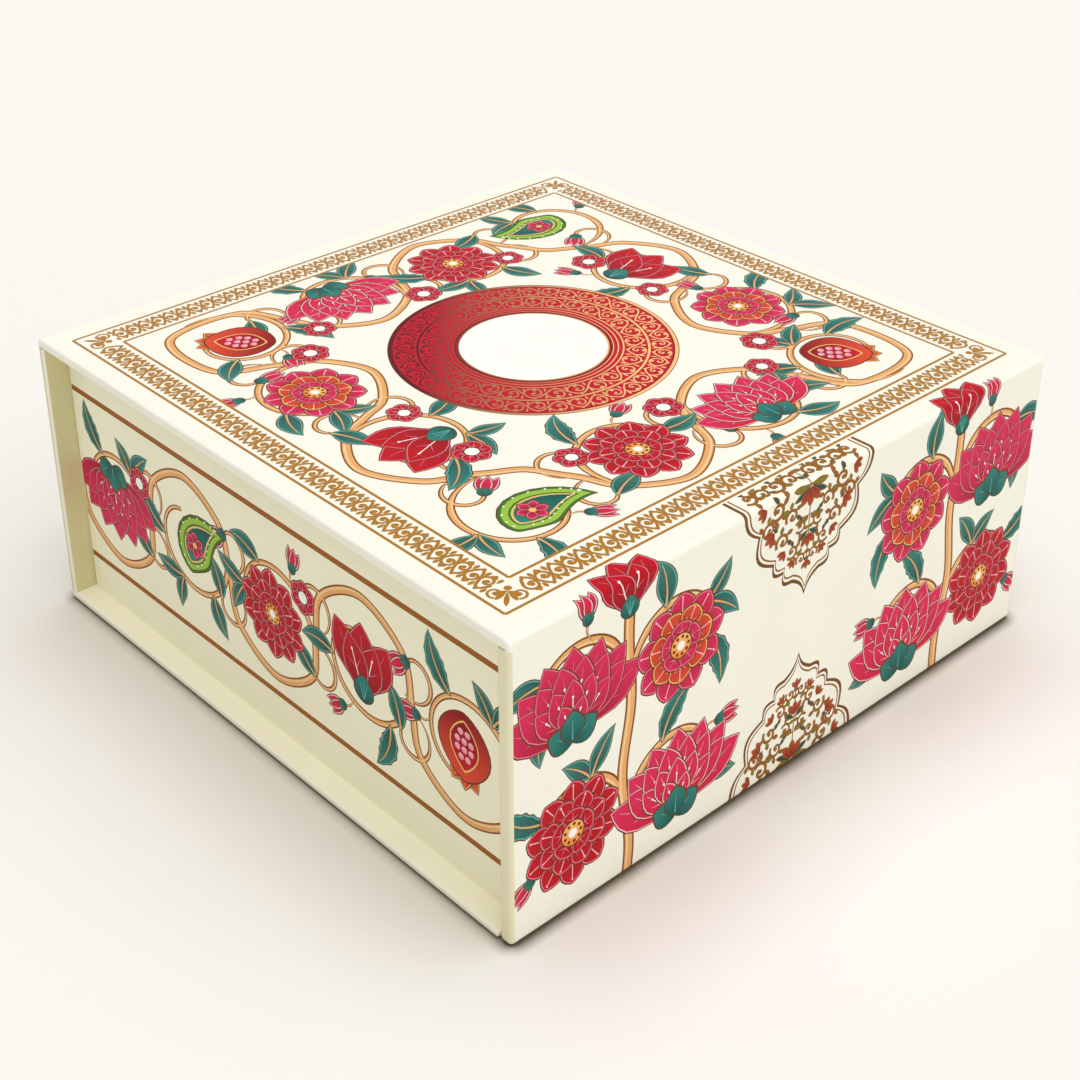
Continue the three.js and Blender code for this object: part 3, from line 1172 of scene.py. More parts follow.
def rounded_path(corners: Sequence[Sequence[float]], radii: Sequence[float], steps: int) -> Points:
    """Path through right-angled corners, each turned as a quarter circle of its own radius.

    Args:
        corners: ends and corners of the path, in order.
        radii: radius at each of them; 0 at the ends and at sharp corners.
        steps: facets in each quarter circle.

    Returns:
        The path's points.
    """
    corner = np.asarray(corners, float)
    pieces: list[Points] = []
    angle = np.linspace(0, QUARTER, steps + 1)[:, None]
    for k, radius in enumerate(radii):
        if radius <= 0:
            pieces.append(corner[k : k + 1])
            continue
        into = (corner[k] - corner[k - 1]) / np.linalg.norm(corner[k] - corner[k - 1])
        away = (corner[k + 1] - corner[k]) / np.linalg.norm(corner[k + 1] - corner[k])
        middle = corner[k] - radius * into + radius * away
        pieces.append(middle + radius * (np.sin(angle) * into - np.cos(angle) * away))
    return np.concatenate(pieces)


@dataclass
class SheetPath:
    """Section of a folded sheet: its points and their distance along it."""

    points: Points
    marks: Points

    @classmethod
    def along(cls, points: Points) -> "SheetPath":
        """Measures a path so that its marks are heights on its longest straight stretch."""
        steps = np.linalg.norm(np.diff(points, axis=0), axis=1)
        marks = np.concatenate([[0.0], np.cumsum(steps)])
        longest = int(np.argmax(steps))
        return cls(points, marks - marks[longest] + points[longest, 0])

    def place(self, marks: Points) -> Points:
        """Points of the section at distances along it."""
        return np.stack([np.interp(marks, self.marks, self.points[:, k]) for k in (0, 1)], 1)

    def beside_folds(self, gap: float) -> Points:
        """Distances along it that lie a gap inside both ends of each long straight stretch."""
        flats = np.flatnonzero(np.diff(self.marks) > 4 * gap)
        return np.concatenate([self.marks[flats] + gap, self.marks[flats + 1] - gap])


@dataclass
class WrappedPanel:
    """A board wrapped in paper: a printed sheet round its outside, eased ends, a bare inside."""

    facing: Facing
    half: float
    ease: float
    printed: Points
    bare: Points
    art: Artwork
    paper: float = 0.25
    support: float = 0.5
    ease_steps: int = 5
    square_top: bool = False
    square_low: bool = False
    # Tone of the bare inside and of the end caps: a darker tone given here is painted shade.
    lining: Ink = Ink.PAPER
    ends: Ink = Ink.PAPER

    def build(self) -> Shell:
        """The panel's closed outer surface and the cavity that holds its board.

        Returns:
            The shell.
        """
        shell = Shell()
        path = SheetPath.along(self.printed)
        edge = self.half - self.ease
        inner = path.marks[1:-1]
        rows = np.unique(np.concatenate([inner, path.beside_folds(self.support)]).round(5))
        columns = np.array([-edge + self.support, edge - self.support])
        sheet = Print.cut(self.art, (-edge, path.marks[0]), (edge, path.marks[-1]), rows, columns)
        section = path.place(sheet.points[:, 1])
        shell.add(self.facing.place(sheet.points[:, 0], section), sheet.faces, sheet.tones)
        self.close_inside(shell, sheet, path, edge)
        for side in (-1, 1):
            self.close_end(shell, sheet, path, edge, side)
        self.hollow(shell, edge)
        return shell

    def close_inside(self, shell: Shell, sheet: Print, path: SheetPath, edge: float) -> None:
        """Adds the bare strips from the sheet's upper edge round the inside to its lower edge.

        Args:
            shell: what they are added to.
            sheet: the printed sheet.
            path: its section.
            edge: half its length.
        """
        ends = np.array([-edge, edge])
        top, low = (sheet.edge(1, path.marks[k]) for k in (-1, 0))
        rows = [top, *([ends] * (len(self.bare) - 2)), low]
        for k in range(len(rows) - 1):
            strip = np.concatenate([rows[k], rows[k + 1][::-1]])
            levels = np.repeat([k, k + 1], [len(rows[k]), len(rows[k + 1])])
            points = self.facing.place(strip, self.bare[levels])
            shell.add(points, np.arange(len(strip))[None], self.lining)

    def rim(self, sheet: Print, path: SheetPath, edge: float, side: int) -> Points:
        """The section's closed loop at one end, with every point that the sheet has there."""
        return np.concatenate([path.place(sheet.edge(0, side * edge)), self.bare[1:-1]])

    def close_end(
        self, shell: Shell, sheet: Print, path: SheetPath, edge: float, side: int
    ) -> None:
        """Adds an end: rings that ease from the faces to the end, and a cap.

        Args:
            shell: what it is added to.
            sheet: the printed sheet.
            path: its section.
            edge: half its length.
            side: -1 for the left end and 1 for the right.
        """
        loop = self.rim(sheet, path, edge, side)
        inward = inset_ways(loop)
        turn = np.linspace(0, QUARTER, self.ease_steps + 1)
        depth = (self.ease * (1 - np.cos(turn)))[:, None]
        rings = loop + inward * depth[:, :, None]
        if self.square_top:
            at_top = loop[:, 0] > self.printed[-1, 0] - 1e-6
            back, front = loop[:, 1].min(), loop[:, 1].max()
            rings[:, at_top, 0] = loop[at_top, 0]
            rings[:, at_top, 1] = np.clip(loop[at_top, 1], back + depth, front - depth)
        if self.square_low:
            at_low = loop[:, 1] < self.printed[0, 1] + 1e-6
            rings[:, at_low, 1] = loop[at_low, 1]
        along = side * (edge + self.ease * np.sin(turn))[:, None]
        points = self.facing.place(along, rings)
        shell.loft(points, True, side > 0, self.ends)
        cap = np.arange(len(loop))[None]
        shell.add(points[-1], cap if side < 0 else cap[:, ::-1], self.lining)

    def hollow(self, shell: Shell, edge: float) -> None:
        """Adds the cavity: the section and its ends moved in by the paper's thickness.

        Args:
            shell: what it is added to.
            edge: half length of the printed sheet.
        """
        loop = np.concatenate([self.printed, self.bare[1:-1]])
        inward = inset_ways(loop)
        radius = self.ease - self.paper
        turn = np.linspace(0, QUARTER, 3)
        depth = self.paper + radius * (1 - np.cos(turn))
        reach = edge + radius * np.sin(turn)
        along = np.concatenate([-reach[::-1], reach])[:, None]
        rings = loop + inward * np.concatenate([depth[::-1], depth])[:, None, None]
        points = self.facing.place(along, rings)
        shell.loft(points, True, False)
        cap = np.arange(len(loop))[None]
        shell.add(points[0], cap[:, ::-1])
        shell.add(points[-1], cap)


def inset_ways(loop: Points) -> Points:
    """For each point of a clockwise loop, the way that moves both its edges in by one."""
    ahead = unit_ways(np.roll(loop, -1, axis=0) - loop)
    normal = np.stack([ahead[:, 1], -ahead[:, 0]], 1)
    before = np.roll(normal, 1, axis=0)
    return (normal + before) / (1 + (normal * before).sum(1, keepdims=True))


@dataclass
class HingeTongue:
    """Strip of wrap at a hinge: a thin slab that carries the print across it."""

    facing: Facing
    end: float
    eases: tuple[float, float]
    low: float
    high: float
    out: float
    art: Artwork
    paper: float = 0.25
    folds: int = 8
    flat: float = 0.2
    near: float = 1e-5

    @property
    def half(self) -> float:
        """Half length of the flat part, which ends short of both eased ends."""
        return self.end - max(self.eases) - self.flat

    def build(self) -> Shell:
        """The slab: its printed front, a plain back, its long edges and its turned ends.

        Returns:
            The shell.
        """
        shell = Shell()
        levels = np.linspace(self.low, self.high, self.folds + 1)
        sheet = Print.cut(
            self.art, (-self.half, self.low), (self.half, self.high), levels[1:-1], np.array([])
        )
        front = self.spot(sheet.points, 0.0)
        shell.add(front, sheet.faces, sheet.tones)
        ends = [sheet.edge(0, side * self.half, self.near) for side in (-1, 1)]
        marks = np.unique(np.concatenate([levels, *ends]).round(5))
        corners = np.stack(np.meshgrid([-self.half, self.half], marks), -1)
        rows = self.spot(corners.reshape(-1, 2), self.paper).reshape(len(marks), 2, 3)
        shell.loft(rows, False, True)
        for level, reverse in ((self.low, False), (self.high, True)):
            edge = sheet.points[np.abs(sheet.points[:, 1] - level) < self.near]
            edge = edge[np.argsort(edge[:, 0])]
            back = np.array([[self.half, level], [-self.half, level]])
            ring = np.concatenate([self.spot(edge, 0.0), self.spot(back, self.paper)])
            order = np.arange(len(ring))[None]
            shell.add(ring, order if reverse else order[:, ::-1])
        for side in (-1, 1):
            self.add_side(shell, sheet, side)
        return shell

    def add_side(self, shell: Shell, sheet: Print, side: int) -> None:
        """Adds one end: the strip turns the box's corner, eased as the boards below and above are.

        Args:
            shell: what it is added to.
            sheet: the printed front.
            side: -1 for the left end and 1 for the right.
        """
        edge = sheet.edge(0, side * self.half, self.near)
        share = ((edge - self.low) / (self.high - self.low))[:, None]
        ease = self.eases[0] * (1 - share) + self.eases[1] * share
        turn = np.linspace(0.0, QUARTER, 6)[None]
        faces = []
        for depth in (0.0, self.paper):
            along = self.end - ease + (ease - depth) * np.sin(turn)
            out = self.out - ease + (ease - depth) * np.cos(turn)
            along = np.concatenate([np.full((len(edge), 1), self.half), along], 1)
            out = np.concatenate([np.full((len(edge), 1), self.out - depth), out], 1)
            level = np.broadcast_to(edge[:, None], out.shape)
            faces.append(self.facing.place(side * along, np.stack([level, out], -1)))
        front, back = faces
        shell.loft(front, False, side < 0)
        shell.loft(back, False, side > 0)
        shell.loft(np.stack([front[:, -1], back[:, -1]], 1), False, side < 0)
        shell.loft(np.stack([front[0], back[0]]), False, side > 0)
        shell.loft(np.stack([front[-1], back[-1]]), False, side < 0)

    def spot(self, flat: Points, depth: float) -> Points:
        """Points in space of places on the strip, at a depth under its face."""
        section = np.stack([flat[:, 1], np.full(len(flat), self.out - depth)], 1)
        return self.facing.place(flat[:, 0], section)


@dataclass
class TrayWrap:
    """Paper round the tray's walls, over the rim and a little way down inside."""

    half: float
    front: float
    back: float
    foot: float
    rim: float
    turn_in: float = 20.3
    corner: float = 1.3
    wall: float = 2.4
    roll: float = 0.7
    paper: float = 0.25
    support: float = 0.4
    snap: float = 1e-3
    ground: Ink = Ink.SOFT_CREAM

    def plan(self) -> SheetPath:
        """The walls' outline from the middle of the back wall, anticlockwise from above.

        Returns:
            The outline, with distances from its start.
        """
        x, y = self.half, self.back
        corners = [(0.0, y), (-x, y), (-x, self.front), (x, self.front), (x, y), (0.0, y)]
        points = rounded_path(corners, (0.0, *[self.corner] * 4, 0.0), 6)
        steps = np.linalg.norm(np.diff(points, axis=0), axis=1)
        return SheetPath(points, np.concatenate([[0.0], np.cumsum(steps)]))

    def end_marks(self) -> tuple[float, float]:
        """Distances along the outline of the middles of the left and the right end.

        Returns:
            The two distances.
        """
        path = self.plan()
        middle = (self.front + self.back) / 2
        found = []
        for side in (-1, 1):
            a, b = np.flatnonzero(np.abs(path.points[:, 0] - side * self.half) < 1e-6)[[0, -1]]
            share = (middle - path.points[a, 1]) / (path.points[b, 1] - path.points[a, 1])
            found.append(path.marks[a] + share * (path.marks[b] - path.marks[a]))
        return found[0], found[1]

    def inset(self, flat: Points, depth: float) -> Points:
        """Plan points moved in by a depth: along the arcs' radii, or straight past their centres.

        Args:
            flat: points of the outline.
            depth: how far in.

        Returns:
            The moved points.
        """
        core = np.array([self.half, self.back])
        low = np.array([-self.half, self.front])
        keep = max(self.corner, depth)
        middle = np.clip(flat, low + keep, core - keep)
        if depth >= self.corner:
            return middle
        return middle + unit_ways(flat - middle) * (self.corner - depth)

    def build(self, art: Artwork) -> Shell:
        """The printed walls, and rings from their top over the rim and back underneath.

        Args:
            art: the print, by distance along the outline and height.

        Returns:
            The shell.
        """
        shell = Shell()
        path = self.plan()
        top = self.rim - self.roll
        ends = path.marks[[0, -1]]
        columns = np.concatenate([path.marks[1:-1], path.beside_folds(self.support)])
        columns = np.unique(columns.round(5))
        columns = columns[(columns > ends[0] + 1e-3) & (columns < ends[1] - 1e-3)]
        rows = np.array([self.foot + self.support, top - self.support])
        sheet = Print.cut(art, (ends[0], self.foot), (ends[1], top), rows, columns, self.ground)
        marks = np.concatenate([ends[:1], columns, ends[1:]])
        across = sheet.points[:, 0]
        nearest = marks[np.abs(across[:, None] - marks).argmin(1)]
        flat = path.place(np.where(np.abs(nearest - across) < self.snap, nearest, across))
        points = np.concatenate([flat, sheet.points[:, 1:].round(3)], 1)
        shell.add(points, sheet.faces, sheet.tones)
        shell.loft(self.rings(path.place(marks)), False, False)
        return shell

    def rings(self, flat: Points) -> Points:
        """Rings of the folded paper, from the wall's top edge to its foot by way of the inside.

        Args:
            flat: points of the outline.

        Returns:
            Rings by points by 3.
        """
        turn = np.linspace(0, QUARTER, 5)
        rise, fall = self.roll * (1 - np.sin(turn)), self.roll * (1 - np.cos(turn))
        over = zip(fall, self.rim - rise)
        into = zip(self.wall - rise, self.rim - fall)
        low, under, inner = self.rim - self.turn_in, self.rim - self.paper, self.wall - self.paper
        bend = under - self.roll
        back = [(self.wall, low), (inner, low), (inner, bend), (self.wall - self.roll, under)]
        down = [(self.roll, under), (self.paper, bend), (self.paper, self.foot), (0.0, self.foot)]
        rows = []
        for depth, height in [*over, *into, *back, *down]:
            ring = self.inset(flat, depth)
            rows.append(np.concatenate([ring, np.full((len(ring), 1), height)], 1))
        return np.stack(rows)


# The printed designs


def sprig_set(scale: float) -> list[Artwork]:
    """Leaves and buds that grow along a vine, at a scale.

    Args:
        scale: of the sprigs.

    Returns:
        Four sprigs, growing up from the origin.
    """
    pair = Artwork()
    pair.stamp(leaf(13 * scale, 5.6 * scale, 0.5), (0.0, 0.0), -0.45)
    pair.stamp(leaf(15 * scale, 6.0 * scale, -0.5), (0.0, 0.0), 0.5)
    stalk = Artwork()
    vines = Vines(outline=0.3)
    vines.grow(smooth([(0, -0.5), (1.2 * scale, 3 * scale), (0.4 * scale, 6 * scale)], 5), 0.7, 0.6)
    vines.paint_on(stalk)
    stalk.stamp(bud(8.5 * scale, ROSE_PETAL), (0.4 * scale, 5.6 * scale), 0.15)
    long = leaf(19 * scale, 6.4 * scale, 0.9, 5)
    return [pair, long, stalk, leaf(15 * scale, 7.0 * scale, -0.7)]


@dataclass
class LidPrint:
    """Top of the case: a vine ring with flowers, a scroll border and a round medallion."""

    outer: tuple[float, float] = (118.6, 116.3)
    inner: tuple[float, float] = (105.6, 103.3)
    line: float = 1.1
    clear: float = 3.4
    overrun: float = -117.6
    far: float = 140.0
    roundel: float = 23.5
    ring: float = 77.0
    medallion: float = 52.0
    eye: float = 26.6
    eye_at: tuple[float, float] = (0.0, 1.5)
    # End of the line along which the medallion's gold fades from painted shade to a painted glint.
    painted_glint_way: tuple[float, float] = (28.0, -26.0)

    def draw(self, flap: Artwork, fold: float) -> Artwork:
        """The lid's print.

        Args:
            flap: the flap's print, which runs on over the fold.
            fold: how far up the flap's print lies below the lid's own heights.

        Returns:
            The print, in the lid's sheet.
        """
        art = Artwork()
        art.stamp(flap, (0.0, -fold))
        art.cover((-self.far, self.overrun), (self.far, self.far))
        self.paint_field(art)
        self.paint_border(art)
        art.stamp(self.draw_medallion(), self.eye_at)
        return art

    def paint_field(self, art: Artwork) -> None:
        """Twelve roundels round the square, joined by a waving stem.

        Args:
            art: what they are painted on.
        """
        far, near = self.ring, self.ring / 3
        side = np.array([[-near, far], [near, far], [far, far]])
        turns = [(math.cos(t), math.sin(t)) for t in np.arange(4) * QUARTER]
        centres = np.concatenate([side @ np.array([[c, -s], [s, c]]) for c, s in turns])
        ways = centres / np.abs(centres).max(1, keepdims=True)
        ways = unit_ways(np.where(np.abs(ways) > 0.9, np.sign(ways), 0.0))
        signs = np.where(np.arange(len(centres)) % 2 == 0, -1.0, 1.0)[:, None]
        red = dahlia(18.0, (RED_PETAL,), (10, 8, 5))
        rose = dahlia(17.5, (PINK_PETAL, CORAL_PETAL), (9, 7, 5))
        first = [lotus(29.0, ROSE_PETAL), red, paisley(36.0)]
        plant = Rinceau(
            centres=centres,
            crests=ways * signs,
            swing=22.5,
            reach=self.roundel,
            stem=1.9,
            tendril=10.0,
            flowers=[*first, tulip(28.0, RED_PETAL), rose, pomegranate(25.0)],
            sprigs=sprig_set(1.15),
            eyes=[rosette(6.8), bud(11.0, ROSE_PETAL), leaf(17.0, 8.0, 0.5), rosette(6.0)],
        )
        plant.paint_on(art)

    def paint_border(self, art: Artwork) -> None:
        """Two gold lines with a scroll run between them on each side and a piece in each corner.

        Args:
            art: what they are painted on.
        """
        (ox, oy), (ix, iy) = self.outer, self.inner
        for side in (-1, 1):
            art.cover(*np.sort([(-self.far, side * iy), (self.far, side * oy)], axis=0))
            art.cover(*np.sort([(side * ix, -oy), (side * ox, oy)], axis=0))
        wide = self.line / 2
        for half_x, half_y in (self.outer, self.inner):
            for x, y in ((-half_x, -half_y), (half_x, half_y)):
                art.cover((-half_x, y - wide), (half_x, y + wide), Ink.FOIL)
                art.cover((x - wide, -half_y), (x + wide, half_y), Ink.FOIL)
        height = ox - ix - self.clear
        corner = self.draw_corner(height)
        for k in range(4):
            reach, half = ((oy + iy) / 2, ix) if k % 2 == 0 else ((ox + ix) / 2, iy)
            strip = Artwork()
            strip.stamp(scroll_run(2 * half, height, 20, 1.2, Ink.PAPER), (-half, reach))
            art.stamp(strip, (0.0, 0.0), k * QUARTER)
        for k, (sx, sy) in enumerate(((1, 1), (-1, 1), (-1, -1), (1, -1))):
            art.stamp(corner, (sx * (ox + ix) / 2, sy * (oy + iy) / 2), k * QUARTER)

    def draw_corner(self, size: float) -> Artwork:
        """A palmette that points to the corner of the border, between two curls.

        Args:
            size: of the piece.

        Returns:
            The piece, about the origin.
        """
        art = Artwork()
        unit = size / 9.0
        for side in (-1, 1):
            middle = (side * 3.3 * unit, -1.0 * unit)
            curl = spiral(middle, QUARTER, QUARTER - side * 6.6, 2.4 * unit, 0.7 * unit, 16)
            art.paint(ribbon(curl, 0.44 * unit), Ink.FOIL)
            art.paint(disc(0.8 * unit, 7, middle), Ink.FOIL)
        for lean, length in ((-1.15, 4.6), (1.15, 4.6), (-0.6, 5.6), (0.6, 5.6), (0.0, 7.4)):
            blade = Artwork.of(petal(length * unit, 1.7 * unit, 0.62, 0.8, 7), Ink.FOIL)
            art.stamp(blade, (0.0, -2.4 * unit), lean)
        art.paint(disc(1.2 * unit, 9, (0.0, -3.6 * unit)), Ink.FOIL)
        pointed = Artwork()
        pointed.stamp(art, (0.0, 0.0), -QUARTER / 2)
        return flattened(pointed, ground=Ink.PAPER)

    def draw_medallion(self) -> Artwork:
        """Nested red and gold rings with scrolls on two of them, round a plain white disc; its gold
        fades from painted shade on one side to a painted glint on the other.

        Returns:
            The medallion, about the origin.
        """
        art = Artwork()
        gold, red, dark = Ink.FOIL, Ink.MEDAL_RED, Ink.DEEP_RED
        edge = ((self.medallion, dark), (51.7, gold), (50.5, dark), (50.0, red))
        bands = ((41.8, gold), (40.9, red), (32.5, gold), (31.9, red), (30.6, gold), (30.1, red))
        heart = ((28.8, gold), (28.4, dark), (27.2, gold), (self.eye, Ink.WHITE))
        for radius, ink in (*edge, *bands, *heart):
            art.paint(disc(radius, 96), ink)
        for middle, height, count in ((45.9, 7.4, 20), (36.7, 7.6, 15)):
            run = scroll_run(WHOLE * middle, height, count, 0.84, Ink.MEDAL_RED)
            art.stamp(run.warp(lambda points, r=middle: ringed(points, r)))
        # Painted shade and glint: the gold fades from a dark painted shade at the back left to a bright
        # painted glint at the front right.
        for k, (ink, _) in enumerate(art.inks):
            if ink is Ink.FOIL:
                art.inks[k] = (Ink.FOIL_PAINTED_SHADE, Ink.FOIL_PAINTED_GLINT)
                art.fades[k] = np.array([self.painted_glint_way, self.painted_glint_way]) * [[-1.0], [1.0]]
        return art


@dataclass
class FlapPrint:
    """Front of the case: a flowering plant on each side and gold cartouches in the middle."""

    plant_x: float = 80.0
    roundel: float = 20.0
    tip_high: float = 68.6
    tip_low: float = 46.0
    shoulder: float = 31.4
    fold_at: float = 111.0
    lobed_height: float = 43.0
    overlap: float = 10.0
    fill: float = 0.89
    curl_size: float = 1.38

    def draw(self) -> Artwork:
        """The flap's print, in its own heights, running on past its top fold.

        Returns:
            The print.
        """
        art = Artwork()
        plant = self.draw_plant()
        art.stamp(plant, (-self.plant_x, 0.0))
        art.stamp(plant, (self.plant_x, 0.0), flip=True)
        depth = self.fold_at - self.tip_high
        art.stamp(self.draw_cartouche(depth), (0.0, self.fold_at), math.pi)
        art.stamp(self.draw_cartouche(self.tip_low), (0.0, 0.0))
        return art

    def draw_plant(self) -> Artwork:
        """An upright stem with four curled branches, a flower in each curl and a bud on top.

        Returns:
            The plant, about x = 0.
        """
        art = Artwork()
        vines = Vines(outline=0.75)
        stem = smooth([(1, -6), (2, 14), (-1.5, 40), (1.5, 66), (0, 88), (0, 101)], 8)
        vines.run(stem, 2.3)
        spots = [(-22.0, 30.0), (23.0, 27.0), (-22.5, 80.0), (22.5, 77.0)]
        curls = []
        for x, y in spots:
            hand = -1.0 if x > 0 else 1.0
            first = math.pi + 0.45 if x > 0 else -0.45
            curl = spiral((x, y), first, first + hand * 5.3, self.roundel + 1.5, 8.5, 44)
            vines.grow(curl, 2.2, 1.1)
            curls.append(curl)
        vines.paint_on(art)
        sprigs = sprig_set(1.2)
        for k, curl in enumerate(curls):
            for j, share in enumerate((13, 23, 31)):
                lean = 0.6 if spots[k][0] < 0 else -0.6
                turn = heading(curl[share] - np.array(spots[k])) + lean
                art.stamp(sprigs[(k + j) % len(sprigs)], curl[share], turn, (j + k) % 2 == 0)
        flowers = [
            dahlia(19.5, (RED_PETAL,), (10, 8, 5)),
            lotus(33.0, ROSE_PETAL),
            lotus(32.0, PINK_PETAL),
            dahlia(19.0, (PINK_PETAL, CORAL_PETAL), (9, 7, 5)),
        ]
        for k, flower in enumerate(flowers):
            art.stamp(flower, (spots[k][0], spots[k][1] - flower.middle_height()))
        art.stamp(tulip(21.0, RED_PETAL), (0.0, 99.0))
        return art

    def draw_cartouche(self, height: float) -> Artwork:
        """Half a pointed frame with a lobed double edge, filled with curls, leaves and flowers.

        Args:
            height: from its foot to its tip.

        Returns:
            The half frame, pointing up.
        """
        art = Artwork()
        side = self.lobes() * (1.0, height / self.lobed_height)
        outline = np.concatenate([side * (-1, 1), side[-2::-1]])

        def edge(by: float) -> Points:
            """The frame's outline drawn in by a distance."""
            return outline * (1 - by / self.shoulder, 1 - 1.25 * by / height)

        art.paint(edge(0.0), Ink.DEEP_GOLD)
        art.paint(edge(1.3), Ink.PAPER)
        art.paint(edge(2.2), Ink.GOLD)
        art.paint(edge(2.9), Ink.PAPER)
        half = Artwork()
        self.fill_lobes(half)
        self.fill_middle(half)
        tall = half.warp(lambda points: points * (self.fill, self.fill * height / self.lobed_height))
        art.stamp(tall)
        art.stamp(tall, flip=True)
        return flattened(art)

    def lobes(self) -> Points:
        """The frame's right half from past its foot to its tip: four lobes and a pointed end.

        Returns:
            The outline's points.
        """
        foot = self.shoulder
        cusps = np.array(
            [(foot, 0), (24.3, 11.2), (16.6, 25.2), (11.4, 30.3), (6.7, 35.6), (0, self.lobed_height)]
        )
        bulges = (0.17, 0.27, 0.34, 0.36, -0.13)
        share = np.linspace(0, 1, 9)[:-1, None]
        pieces = [np.array([(foot, -self.overlap)])]
        for start, stop, bulge in zip(cusps[:-1], cusps[1:], bulges):
            chord = stop - start
            out = np.array([chord[1], -chord[0]])
            pieces.append(start + chord * share + out * bulge * np.sin(math.pi * share))
        return np.concatenate([*pieces, cusps[-1:]])

    def curl_with_leaves(self, size: float, hand: int) -> Artwork:
        """A gold curl about the origin, with leaves along its outside.

        Args:
            size: radius of the curl.
            hand: 1 if it winds anticlockwise and -1 if clockwise.

        Returns:
            The curl.
        """
        art = Artwork()
        curl = spiral((0.0, 0.0), 0.6, 0.6 + hand * 6.6, size, 0.28 * size, 20)
        art.paint(ribbon(curl, np.linspace(0.21, 0.16, 20) * size), Ink.GOLD)
        art.paint(disc(0.28 * size, 8), Ink.GOLD)
        for k, ink in ((2, Ink.GOLD), (5, Ink.OLIVE), (8, Ink.GOLD), (11, Ink.DEEP_TEAL)):
            way = math.atan2(curl[k][1], curl[k][0]) - QUARTER + hand * 0.7
            drop = Artwork.of(petal(1.1 * size, 0.64 * size, 0.58, 0.85, 7), Ink.GOLD)
            if ink is not Ink.GOLD:
                drop.paint(petal(0.8 * size, 0.36 * size, 0.58, 0.85, 7) + (0, 0.15 * size), ink)
            art.stamp(drop, curl[k], way)
        return art

    def fill_lobes(self, half: Artwork) -> None:
        """Paints a flower in each lobe of the frame's right half, with curls between them.

        Args:
            half: what it is painted on.
        """
        foot = ((26.2, -5.6, 2.5, 1), (19.6, -4.6, 2.7, -1), (12.6, -5.2, 2.7, 1), (5.2, -4.8, 2.7, -1))
        side = ((17.8, 5.4, 2.9, 1), (21.6, 11.6, 2.3, -1), (14.0, 19.6, 2.6, -1))
        tip = ((8.4, 26.2, 2.2, 1), (3.2, 31.4, 1.9, -1))
        shoulder_flowers = ((23.4, 2.6, -1.15, 5.2), (18.6, 14.0, -1.0, 6.0))
        flowers = (*shoulder_flowers, (12.4, 24.0, -0.75, 4.4), (7.2, 30.0, -0.6, 3.8))
        for x, y, size, hand in (*foot, *side, *tip):
            half.stamp(self.curl_with_leaves(self.curl_size * size, hand), (x, y))
        for x, y, turn, size in flowers:
            half.stamp(self.small_flower(size), (x, y), turn)

    def fill_middle(self, half: Artwork) -> None:
        """Paints half of a tall palmette up the middle of the frame.

        Args:
            half: what it is painted on.
        """
        stem = smooth([(0.0, -9.0), (0.0, 2.0), (0.0, 34.0)], 4)
        half.paint(ribbon(stem, 0.3), Ink.GOLD)
        for y, lean, length, ink in (
            (1.0, -1.25, 9.5, Ink.OLIVE),
            (1.0, -0.75, 10.5, Ink.DEEP_TEAL),
            (13.5, -1.1, 8.0, Ink.OLIVE),
            (20.0, -0.9, 6.5, Ink.DEEP_TEAL),
        ):
            blade = Artwork.of(bent(petal(length, 3.0, 0.6, 0.85, 10), 0.06), Ink.GOLD)
            blade.paint(bent(petal(length - 1.2, 1.7, 0.6, 0.85, 10) + (0, 0.6), 0.06), ink)
            half.stamp(blade, (0.0, y), lean)
        half.stamp(self.curl_with_leaves(3.4, -1), (9.6, 11.0))
        half.stamp(self.curl_with_leaves(2.8, 1), (4.6, 17.0))
        for y, size in ((2.0, 8.6), (21.5, 6.2), (33.0, 4.2)):
            half.stamp(self.small_flower(size), (0.0, y))

    def small_flower(self, size: float) -> Artwork:
        """A drop of three petals in red and orange, outlined in gold.

        Args:
            size: length of its petals.

        Returns:
            The flower.
        """
        blade = Artwork.of(petal(size, 0.46 * size, 0.62, 0.8, 8), Ink.GOLD)
        inner = petal(0.84 * size, 0.46 * size - 0.8, 0.62, 0.8, 8) + (0, 0.07 * size)
        blade.paint(inner, Ink.DEEP_RED, Ink.RUST)
        art = Artwork()
        art.fan(blade, (-0.62, 0.62, 0.0))
        return art


@dataclass
class BandPrint:
    """A running vine between two lines, for the tray's ends and the spine."""

    width: float
    low: float
    high: float
    line: float = 2.3
    roundels: int = 5
    swing: float = 28.6
    reach: float = 25.5
    margin: float = 15.0
    ground: Ink = Ink.SOFT_CREAM

    def draw(self, cut: bool) -> Artwork:
        """The band about x = 0.

        Args:
            cut: whether lines cut the vine off above and below.

        Returns:
            The band.
        """
        art = Artwork()
        step = self.width / self.roundels
        middle = (self.low + self.high) / 2
        x = (np.arange(self.roundels) - (self.roundels - 1) / 2) * step
        centres = np.stack([x, np.full(self.roundels, middle)], 1)
        signs = np.where(np.arange(self.roundels) % 2 == 0, -1.0, 1.0)
        crests = np.stack([np.zeros(self.roundels), signs], 1)
        ends = np.array([[x[0] - step / 2, middle], [x[-1] + step / 2, middle]])
        flowers = [
            lotus(30.0, PINK_PETAL),
            paisley(36.0),
            dahlia(17.5, (RED_PETAL,), (10, 8, 5)),
            tulip(28.0, RED_PETAL),
            pomegranate(25.0),
        ]
        plant = Rinceau(
            centres=centres,
            crests=crests,
            swing=self.swing,
            reach=self.reach,
            stem=1.8,
            tendril=10.5,
            flowers=flowers,
            sprigs=sprig_set(1.15),
            eyes=[leaf(16.0, 7.4, 0.5), rosette(6.4), bud(11.0, ROSE_PETAL), leaf(17.0, 7.6, -0.5)],
            ends=ends,
        )
        plant.paint_on(art)
        if cut:
            far = self.width
            art.cover((-far, self.low - self.margin), (far, self.low), self.ground)
            art.cover((-far, self.high), (far, self.high + self.margin), self.ground)
            for level in (self.low, self.high):
                art.cover((-far, level - self.line / 2), (far, level + self.line / 2), Ink.BAND)
        return art


# Materials


